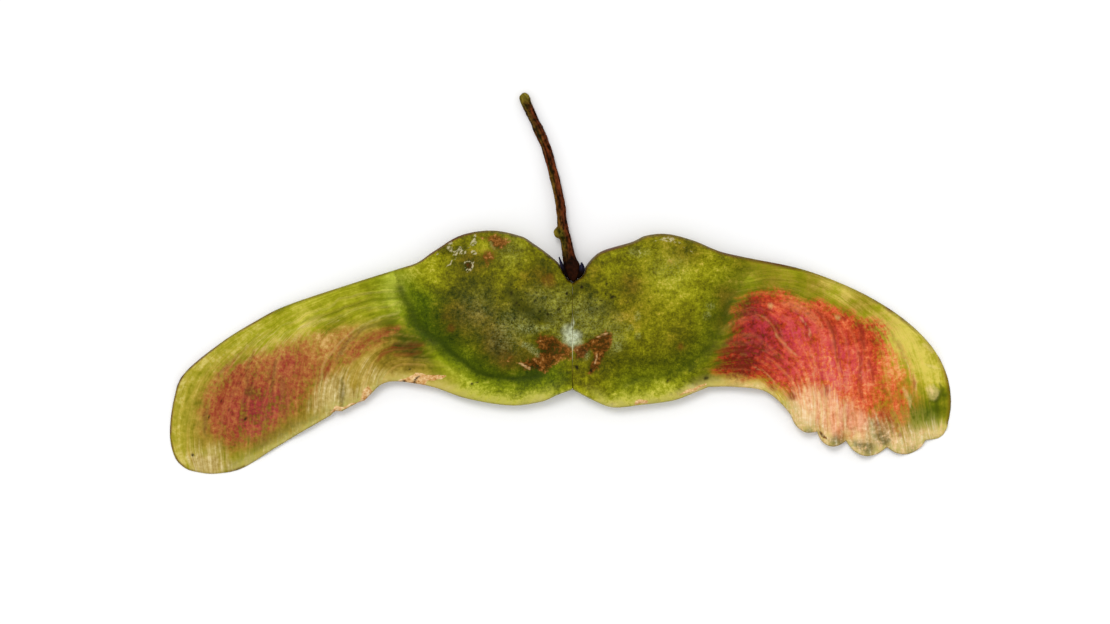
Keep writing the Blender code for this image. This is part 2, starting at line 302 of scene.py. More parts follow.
LEFT_VEINS = [
    [(14.8, -8.8), (16.9, -8.7), (18.1, -9.2), (18.9, -10.3), (19.2, -11.4)],
    [(15.1, -7.2), (17.2, -7.2), (18.8, -7.5), (19.8, -8.3), (20.4, -9.3), (20.9, -10.8), (21.2, -12.7)],
    [(15.2, -6), (17.4, -5.7), (19.2, -6), (20.6, -6.8), (21.6, -8.1), (22.4, -9.4), (22.9, -10.8),
        (23.1, -12.2), (23.2, -13.8)],
    [(15.4, -4.8), (17.2, -4), (19.1, -4.2), (20.6, -4.8), (22.2, -6.2), (23.6, -7.8), (24.6, -9.4),
        (25.1, -11.1), (25.2, -12.6), (25.4, -14.8)],
    [(15.7, -3.9), (17.4, -3.1), (19.2, -3.1), (21.2, -3.6), (23.1, -4.5), (24.4, -5.5), (25.4, -7.2),
        (25.9, -9.2), (26.4, -11.4), (26.6, -13.4), (26.6, -15.2)],
    [(15.8, -3), (17.6, -2.5), (19.6, -2.6), (21.6, -3), (23.6, -3.8), (25.4, -4.5), (26.9, -6),
        (27.4, -7.8), (27.9, -10.1), (28.1, -12.4), (28.2, -14.2), (28.4, -16.2)],
    [(16.1, -2.2), (18.1, -1.9), (20.2, -2.1), (22.4, -2.8), (24.6, -3.5), (26.8, -4.8), (28.4, -6.3),
        (29.4, -8.1), (29.9, -10.2), (30.4, -12.4), (30.9, -14.7), (31.4, -17.9)],
    [(16.2, -1.6), (18.2, -1.4), (20.6, -1.6), (23.1, -2.2), (25.4, -3.1), (27.6, -4.3), (29.8, -6),
        (31.2, -8), (32.2, -10.1), (33, -12.4), (33.2, -15.1), (33.5, -18.9)],
    [(16.4, -0.8), (18.4, -0.8), (21.1, -1.1), (23.6, -1.9), (26.2, -2.9), (28.8, -4.2), (31.1, -5.8),
        (33.2, -7.7), (35, -9.7), (36.2, -11.9), (36.8, -14.4), (36.9, -16.8), (36.6, -19.6)],
    [(16.6, -0.1), (18.9, -0.3), (21.6, -0.8), (24.4, -1.6), (27.2, -2.6), (29.9, -4), (32.5, -5.8),
        (35, -7.8), (37, -10.1), (38, -12.4), (38.5, -15.1), (38.5, -17.4), (37.9, -19.4)],
    [(16.9, 1.1), (21.2, -0.1), (26.2, -1.8), (30.4, -3.5), (33.8, -5.5), (36.8, -7.5), (39, -9.8),
        (40, -12.2), (40.5, -14.2), (40.4, -16.4), (39.4, -18.9)],
]

LEFT_MARKS = {
    "lush": [glow(14.6, -3, 2, 0.7)],
    "bare": [glow(36, -19.4, 2.4, 0.8)],
    "sage": [even(0)],
    "frost": [
        dot(-0.1, -6.1, 0.75, 0.75, 0.7), dot(0.5, -5.2, 0.5, 0.35), line([(0, -4), (0, -6.8)], 0.3, 0.5),
    ],
    "brown": [
        glow(7.5, -7, 2, 0.55), glow(4.5, -8, 1.6, 0.5), glow(3, 0.2, 1.6, 0.45),
        glow(8.8, 2.2, 1.6, 0.35), glow(12, -4, 2.2, 0.45), glow(8.5, -4, 2.5, 0.35),
        glow(10.5, 1.6, 1.4, 0.4), glow(5, -0.5, 1.6, 0.3), glow(12.8, 3, 1, 0.4),
        glow(17.2, -5.6, 1.4, 0.35), glow(15.6, -7, 1.2, 0.4),
    ],
    # The ground's own tone, with painted shade: the darker places on the nutlet's side of the crease, along
    # its wrinkles and at the crease's end.
    "glow": [
        glow(8.9, 2.9, 0.8, 0.22), glow(27, -3.5, 4, 0.14), glow(33, -6.8, 3.5, 0.1),
        glow(37.5, -10.5, 3, 0.14), glow(38, -17.8, 2.6, 0.14), glow(29.5, -7, 2, 0.12),
        glow(21.5, -9.5, 2.4, 0.12), even(0.42), glow(15, 0.2, 2.6, 0.36), glow(11.6, -0.8, 2, -0.06),
        glow(9, 3, 1.3, 0.18), glow(13.8, -4.2, 3.2, -0.16), glow(11.5, -5.8, 2.6, -0.04),
        glow(8, -7.8, 2.6, -0.13), glow(9.5, -2.5, 4, -0.1), glow(4.5, -3, 2, -0.14),
        glow(5.2, 1.8, 2.6, 0.08), glow(10.3, -7.1, 1, 0.16), glow(13.2, -8.4, 1.6, 0.22),
        glow(14.5, -9.6, 2.2, 0.04), glow(15.6, -7.4, 1.6, -0.15), glow(2.4, 0.8, 1.2, -0.14),
        glow(36.5, -19, 1.6, 0.26), glow(16.6, -3.4, 1.6, 0.12), glow(9.6, -11.4, 1.8, 0.24),
        glow(26.4, -5, 1.3, 0.15), glow(29.2, -3.3, 1.4, -0.15), glow(11.5, -10.2, 1.6, 0.22),
        glow(7, -11.8, 2, 0.18), glow(3.2, -11.6, 1.8, 0.18), glow(4.5, -10.4, 1.3, -0.1),
        glow(38.6, -14.5, 2, 0.05), glow(18, -8.6, 2.2, -0.1), glow(3.4, -9.3, 1.8, -0.12),
        glow(26.2, -9.2, 1.8, 0.1), glow(20.5, -5.2, 1.6, 0.08), glow(34.5, -15.6, 2, -0.1),
        glow(5.2, -3.2, 1.3, -0.1), glow(23.3, -13.2, 1, 0.2), glow(20.3, -11.3, 1, 0.15),
        glow(12.3, -7.2, 1.2, -0.12), glow(29.2, -6.6, 1.2, 0.1),
    ],
    "dark": [
        # Painted shade: this stroke is the shadow of the nutlet's wrinkles, and the dot below is the shadow
        # in the seam under the stalk.
        line([(6.4, -1.2), (5.6, -2.2), (4.8, -3.1), (3.5, -3.8), (2.2, -4.3)], 1.4, 0.95, 0.95),
        dot(0.2, -1.1, 0.7, 0.6, 0.9),
        line([(17.6, -4.2), (19.2, -4.5), (20.8, -5), (21.9, -6), (23.2, -7.5), (23.6, -8.2)], 0.5, 0.7),
        # Painted shade of a fold in the wing.
        line([(23.1, -10.1), (23.1, -11.4), (23.1, -13.1)], 0.7, 0.75),
        line([(31.1, -5.5), (32.5, -6.8), (33.4, -7.7), (34.5, -8.7), (35.4, -9.8)], 0.4, 0.3),
        line([(17.2, -2), (20.1, -2.4), (22.6, -3), (25.1, -3.8), (27.2, -4.5)], 0.35, 0.5),
        line([(29.6, -8.2), (29.9, -9.9), (30.1, -11.8)], 0.4, 0.6),
        line([(29.2, -10), (28.9, -12), (28.6, -14)], 0.9, 0.35),
        line([(31.9, -7.2), (32.4, -8.7), (32.5, -10.7)], 0.4, 0.5),
        line([(36.5, -12.7), (36.9, -14.2), (36.6, -15.8)], 0.5, 0.6),
        line([(14.8, -6.5), (16.4, -6.8), (17.8, -6.9)], 0.5, 0.8),
        line([(13.6, -7.6), (14.8, -8), (16.4, -7.9)], 0.35, 0.6), dot(32.3, -11.4, 0.5, 0.7),
        area([(34.8, -19.2), (31.2, -17.3), (28, -15.4), (25.4, -13.8), (28.2, -14.6), (31.1, -16.4)],
            0.8, 0.75),
    ],
    "ember": [
        line([(24.1, -8.6), (24.4, -9.2), (24.9, -10.1)], 0.55, 1, 0.5),
        line([(28.2, -8.1), (28.9, -9.1)], 0.6, 0.8),
        line([(34.8, -10.4), (35, -12.2), (35.5, -13.2), (36, -14.1)], 0.5, 0.8),
        line([(27.2, -7.5), (26.6, -8.4), (27.6, -10.1)], 0.4, 0.5),
        line([(17.4, -5), (18.2, -5), (19.2, -5.8), (20.2, -6), (21.2, -7), (21.9, -8.4)], 0.7, 0.55),
        line([(14.8, -6.7), (17.4, -7), (18.8, -7.5), (19.6, -8.3)], 0.6, 0.8),
        line([(15.2, -7.5), (16.6, -7.8), (17.9, -7.8)], 0.5, 0.6), dot(12.2, -5.2, 0.4, 0.5),
        dot(12.7, -3.9, 0.5, 0.15), dot(6.5, -8.4, 1, 0.3), dot(2.4, -0.3, 0.6, 0.4),
    ],
    "light": [
        line([(17.2, -2.6), (19.2, -3), (21.4, -3.2), (23.1, -3.9), (25.2, -4.2), (27.4, -5), (29.1, -6),
            (30.2, -6.8), (31.6, -7.8)], 0.25, 0.3),
        line([(17.1, -3.5), (19.2, -4), (20.8, -4.5), (22.1, -5.5), (23.2, -6.5), (24.1, -7.5),
            (24.8, -8.6), (25.1, -10.1), (25.2, -12.2)], 0.2, 0.5),
        line([(16.9, -1.4), (19.2, -1.4), (22.1, -1.9), (24.2, -2.8), (27.1, -4), (29.6, -5.2),
            (32.2, -6.8)], 0.2, 0.3),
        line([(24.2, -10.8), (24.4, -12.1), (24.2, -13.2)], 0.6, 0.5),
        line([(20.6, -9.2), (20.8, -9.9), (21.1, -10.7)], 0.2, 1),
        line([(8.1, 3.5), (7.7, 2.9)], 0.35, 0.7), dot(39.1, -17.5, 0.2, 1),
    ],
    "red": [
        area([(22.1, -5.5), (25.1, -5.7), (28.4, -6.8), (32.4, -8), (35.9, -10.4), (37.2, -13.2),
            (36.4, -15.4), (34, -16.8), (31.1, -15.9), (28.2, -13.6), (26.1, -11.6), (24.2, -9.4),
            (22.4, -7.2)], 2.2, 0.6),
        line([(17.5, -5.2), (19.5, -6), (21.3, -7), (22.5, -8.5)], 1.6, 0.35, 0.9),
        glow(33.8, -9.6, 1.6, 0.25), glow(28.6, -8.6, 1.2, 0.2), glow(34.6, -13, 1.6, 0.15),
    ],
    "tone": [
        even(0.45), glow(31, -13.8, 3, -0.25), glow(28, -8.5, 2, -0.05), glow(25, -7, 1.8, 0.25),
        glow(35, -16, 2.2, -0.12), glow(24.5, -5.8, 1.4, 0.2), glow(33.8, -9.8, 1.4, -0.1),
        glow(32, -12.4, 2.5, -0.12),
    ],
    "pale": [
        area([(23, -9.4), (25.4, -9.8), (26.6, -13.2), (24.6, -13.6), (22.6, -12.6), (22.6, -11)], 0.9,
            0.8),
        area([(20, -7.6), (22.5, -8.2), (23.5, -9.8), (21, -10.8), (19.6, -9.4)], 0.8, 0.3),
        line([(23.4, -4.4), (25.2, -4.5), (27.4, -5.1)], 0.9, 0.35), glow(23, -12.8, 0.9, 0.5),
        glow(36.5, -19, 1.6, 0.6),
        area([(20.8, -10.6), (22.6, -11.6), (24.6, -12.6), (24.4, -13.9), (21, -12.6)], 0.5, 0.7),
        area([(38.6, -17.6), (38, -19.4), (34, -19.5), (33, -18.6), (36.4, -18.4)], 0.8, 0.4),
        area([(35, -16.6), (38.4, -16), (38.8, -18.6), (36, -19.3), (33.8, -18.7)], 0.9, 0.3),
        area([(18.8, -9.2), (20.4, -8.6), (20.8, -11), (18.8, -10.6)], 0.7, 0.35),
        area([(30.2, -4.9), (35, -8.6), (36.3, -11.2), (34.8, -10.6), (31, -7.4), (27.4, -6)], 0.8, 0.3),
    ],
    "magenta": [
        glow(31.1, -13.6, 2.2, 0.3), glow(31.6, -16.2, 1.6, 0.14), glow(29.2, -12.2, 1.4, 0.14),
        glow(28.6, -8.6, 1.3, 0.2), glow(34.6, -13.2, 1.4, 0.16),
    ],
    "bloom": [
        area([(6, -2.2), (5, -1.4), (2.8, -1.1), (0.7, -1.1), (-0.3, -2.2), (-0.3, -5.5), (1.2, -5.8),
            (3.2, -4.8), (5.2, -5.2), (7, -4.8)], 1.1, 0.25),
        dot(-0.1, -6.2, 0.95, 1, 0.5), line([(1.6, -6), (0.8, -5.8)], 0.5, 0.6),
        line([(4.8, -6.7), (4, -7.2), (3.4, -7.8)], 0.7, 0.9),
        line([(5.2, -5), (3.9, -5.2), (2.5, -5)], 0.8, 0.5), glow(6.6, -5.9, 1.6, 0.35),
        glow(9.3, -3.2, 1.8, 0.22), glow(6.2, 2.7, 1.2, 0.25), glow(4.9, -2.9, 1.1, -0.3),
        glow(3.2, -3.9, 0.9, -0.25),
    ],
    "speck": [
        glow(4.5, -2.6, 4, 0.9), glow(9, -4, 4, 0.45), glow(1.5, -3, 1.5, 0.8), glow(13.5, 2.3, 1.5, 0.4),
    ],
    "rust": [
        area([(3.8, -6.2), (3, -5.8), (1.8, -5.8), (0.9, -6.5), (0.1, -7), (-0.1, -8.1), (1.1, -8.2),
            (2.1, -8.8), (2.8, -9.6), (3.9, -9.3), (5, -9.1), (5.2, -8.6), (4.5, -8.2), (3.5, -8),
            (3.6, -7)], 0.45),
        area([(9.4, 4.2), (7.2, 4.2), (6.2, 3.5), (6.5, 2.6), (7.5, 2.6), (8.1, 3.1), (8.8, 3.8)], 0.6,
            0.95),
        dot(8.5, 2, 0.8, 0.75), dot(10.3, 1.1, 0.42, 1), dot(6.2, -8.3, 0.8, 0.35),
    ],
    "tan": [
        area([(17.4, -10.4), (17.1, -10.1), (16.2, -9.8), (15.7, -9.6), (14.2, -9.6), (12.4, -9.9),
            (13.2, -10.2), (14.6, -10.2), (14.7, -10.8), (16.4, -10.8)], 0.12),
        area([(20.4, -10.8), (20.1, -11.3), (20.9, -12.3), (21.2, -12.3), (20.9, -11.2)], 0.25),
        dot(23.5, -13.3, 0.45, 1), line([(5.2, -8.6), (4.2, -9.1)], 0.8, 0.6, 0.9),
        line([(20, -11.3), (20.8, -12.1), (22.5, -12.9), (24.4, -13.6)], 0.2, 0.8),
    ],
    "crust": [
        ring(12.2, 2.9, 0.2), ring(11.6, 2.5, 0.22), ring(10.8, 2.5, 0.24), ring(9.7, 2.5, 0.18),
        ring(11.2, 2.9, 0.16), ring(9.9, 3.6, 0.18), line([(11.9, 1.7), (12.2, 1.2), (12.6, 1)], 0.2),
        ring(10.3, 1.1, 0.46, 0.11), ring(12.1, 3.5, 0.14),
        line([(10.7, 1.5), (10.2, 1.55), (9.8, 1.2), (9.9, 0.8)], 0.16), dot(9.8, 4, 0.14),
        dot(12.7, 1.8, 0.13), dot(10.3, 3.1, 0.13), dot(13.4, 2.2, 0.12), dot(11.6, 1.9, 0.1),
    ],
    "dots": [
        dot(35, -12.4, 0.12), dot(34.4, -13.2, 0.1), dot(32.6, -14.2, 0.12), dot(36.5, -13.9, 0.1),
        dot(38, -17.9, 0.12), dot(16.9, -10.3, 0.13), dot(16.2, -9.2, 0.08), dot(10, -10.7, 0.16),
        dot(9.5, -10.5, 0.14), dot(6.1, -0.7, 0.1), dot(6.1, -1.5, 0.12), dot(5.5, -2.5, 0.12),
        dot(1.4, -3.3, 0.12), dot(0.6, -1.5, 0.14), dot(2.4, -3.8, 0.12), dot(7.3, -3.1, 0.08),
        line([(15.9, -10.7), (15.8, -10.2), (15.4, -9.9)], 0.18),
    ],
}

LEFT = Samara(
    name="samara_left",
    side=-1,
    seed=3,
    outline=LEFT_OUTLINE,
    shoulder=(38.9, -9.6),
    heel=(33.1, -19.1),
    edge_wave=0.1,
    edge_waves=5,
    veins=LEFT_VEINS,
    crease=[
        (17.2, -1.1), (16.8, -2.1), (16.2, -3), (15.8, -4), (15.1, -5), (14.1, -5.8), (13.2, -6.3),
        (12.6, -7), (11.8, -7.7), (10.9, -8.3), (9.8, -9.2), (8.6, -9.7), (7.2, -9.9), (5.8, -10.1),
        (4.2, -9.9), (2.5, -9.7),
    ],
    neck=[
        (16.1, 2.2), (16.8, -0.8), (16.9, -2.2), (16.1, -4.5), (14.1, -6.5), (12.1, -8.2), (10.2, -13.2),
    ],
    band_depth=(4.4, 3.2, 1.4),
    margin=0.45,
    rim=0.32,
    lush=0.9,
    crease_shade_tones=(0.95, 0.36),
    marks=LEFT_MARKS,
    reds=[
        (0, (112, 34, 24)), (0.3, (150, 62, 38)), (0.6, (172, 104, 50)), (0.85, (190, 144, 74)),
        (1, (210, 168, 100)),
    ],
    tans=[
        (0, (88, 74, 6)), (0.35, (130, 108, 22)), (0.6, (166, 138, 46)), (0.85, (194, 166, 74)),
        (1, (222, 202, 120)),
    ],
    creams=[(0, (126, 100, 42)), (0.4, (166, 140, 70)), (0.7, (196, 174, 108)), (1, (232, 214, 160))],
)

RIGHT_OUTLINE = [
    [SEAM_END, (0.45, -0.2), (0.9, 0.15), (1.15, 0.6), (1.35, 1.15), (2.1, 2.05), (3.2, 2.75),
        (5.9, 3.55), (7.4, 4.2), (9.5, 4.35), (12.1, 3.7), (14.8, 2.6), (17.9, 1.9), (23.1, 0.8),
        (28.3, -1.2), (32.6, -3.7), (35.7, -6.5), (37.4, -9.4), (37.95, -12.4), (37.5, -15.1),
        (36.75, -16.05), (35.4, -16.3)],
    lobe((35.4, -16.3), (31.5, -17), 1.05), lobe((31.5, -17), (27.4, -16.35), 1.2),
    lobe((27.4, -16.35), (24.5, -15.45), 1),
    [(24.5, -15.45), (23.3, -15.5), (22.3, -14.75), (21.5, -13.3), (19.3, -11.4), (16.2, -10.95),
        (13.6, -10.95)],
    [(13.6, -10.95), (12.5, -11.4), (10.1, -12.3), (6.8, -12.75), (4.1, -13), (2.1, -12.3), FOOT],
]

RIGHT_VEINS = [
    [(13.9, -9.8), (16.2, -9.7), (17.9, -10.1), (19.6, -11.1), (20.6, -12.4)],
    [(14.2, -8.8), (16.6, -8.4), (18.4, -8.8), (19.6, -9.8), (20.6, -10.9), (21.6, -11.9), (22.1, -13.4),
        (22.2, -15.2)],
    [(14.4, -7.5), (16.9, -7.2), (19.1, -7.8), (20.6, -8.8), (21.9, -10.3), (22.6, -12.1), (22.9, -13.8),
        (23.1, -16.2)],
    [(14.9, -5.2), (16.9, -4), (18.8, -3.8), (19.9, -4.7), (20.6, -6), (21.6, -7.2), (22.6, -8),
        (23.4, -9.2), (23.9, -10.9), (24.1, -12.8), (24.2, -16.2)],
    [(15.7, -3.5), (17.8, -2.5), (20.2, -2.8), (22.1, -3.5), (23.1, -4.2), (23.6, -5.8), (24.2, -7.5),
        (24.6, -9.1), (24.9, -10.8), (25.1, -12.7), (25.2, -16.9)],
    [(16.1, -2.4), (18.8, -1.6), (21.8, -1.9), (23.6, -2.6), (24.8, -3.5), (25.6, -4.5), (26.1, -5.8),
        (26.4, -7.2), (26.6, -8.8), (26.9, -10.4), (26.9, -12.2), (27.1, -14.2), (27.4, -17.2)],
    [(16.4, -1.4), (19.8, -0.9), (22.8, -1.4), (25.2, -2.5), (26.9, -3.6), (28.1, -4.8), (28.8, -6),
        (29.1, -7.5), (29.2, -9.2), (29.4, -11.1), (29.6, -12.8), (30.1, -14.7), (30.8, -18.1)],
    [(16.8, -0.7), (20.2, -0.2), (23.6, -0.7), (26.2, -1.9), (28.4, -3.5), (29.8, -5), (30.6, -6.3),
        (31.1, -8.1), (31.4, -9.8), (31.8, -11.7), (32.2, -13.4), (32.9, -15.2), (33.5, -18.1)],
    [(16.9, 0.1), (20.8, 0.6), (24.2, -0.1), (27.2, -1.4), (29.6, -3), (31.6, -4.8), (32.8, -6.7),
        (33.5, -8.4), (34, -10.2), (34.1, -12.1), (34.5, -13.8), (35, -17.2)],
    [(17.2, 0.9), (21.2, 1.2), (24.8, 0.6), (27.9, -0.9), (30.6, -2.6), (32.8, -4.5), (34.2, -6.5),
        (35.1, -8.8), (35.5, -10.8), (35.8, -12.8), (36.1, -14.8), (36.8, -16.9)],
    [(17.6, 2.2), (21.8, 1.6), (25.2, 0.5), (28.8, -1.1), (31.8, -2.8), (34.2, -4.7), (36.2, -6.5),
        (37.5, -8.6), (38, -10.9), (38.1, -12.8), (38, -14.2), (37.5, -16.2)],
]

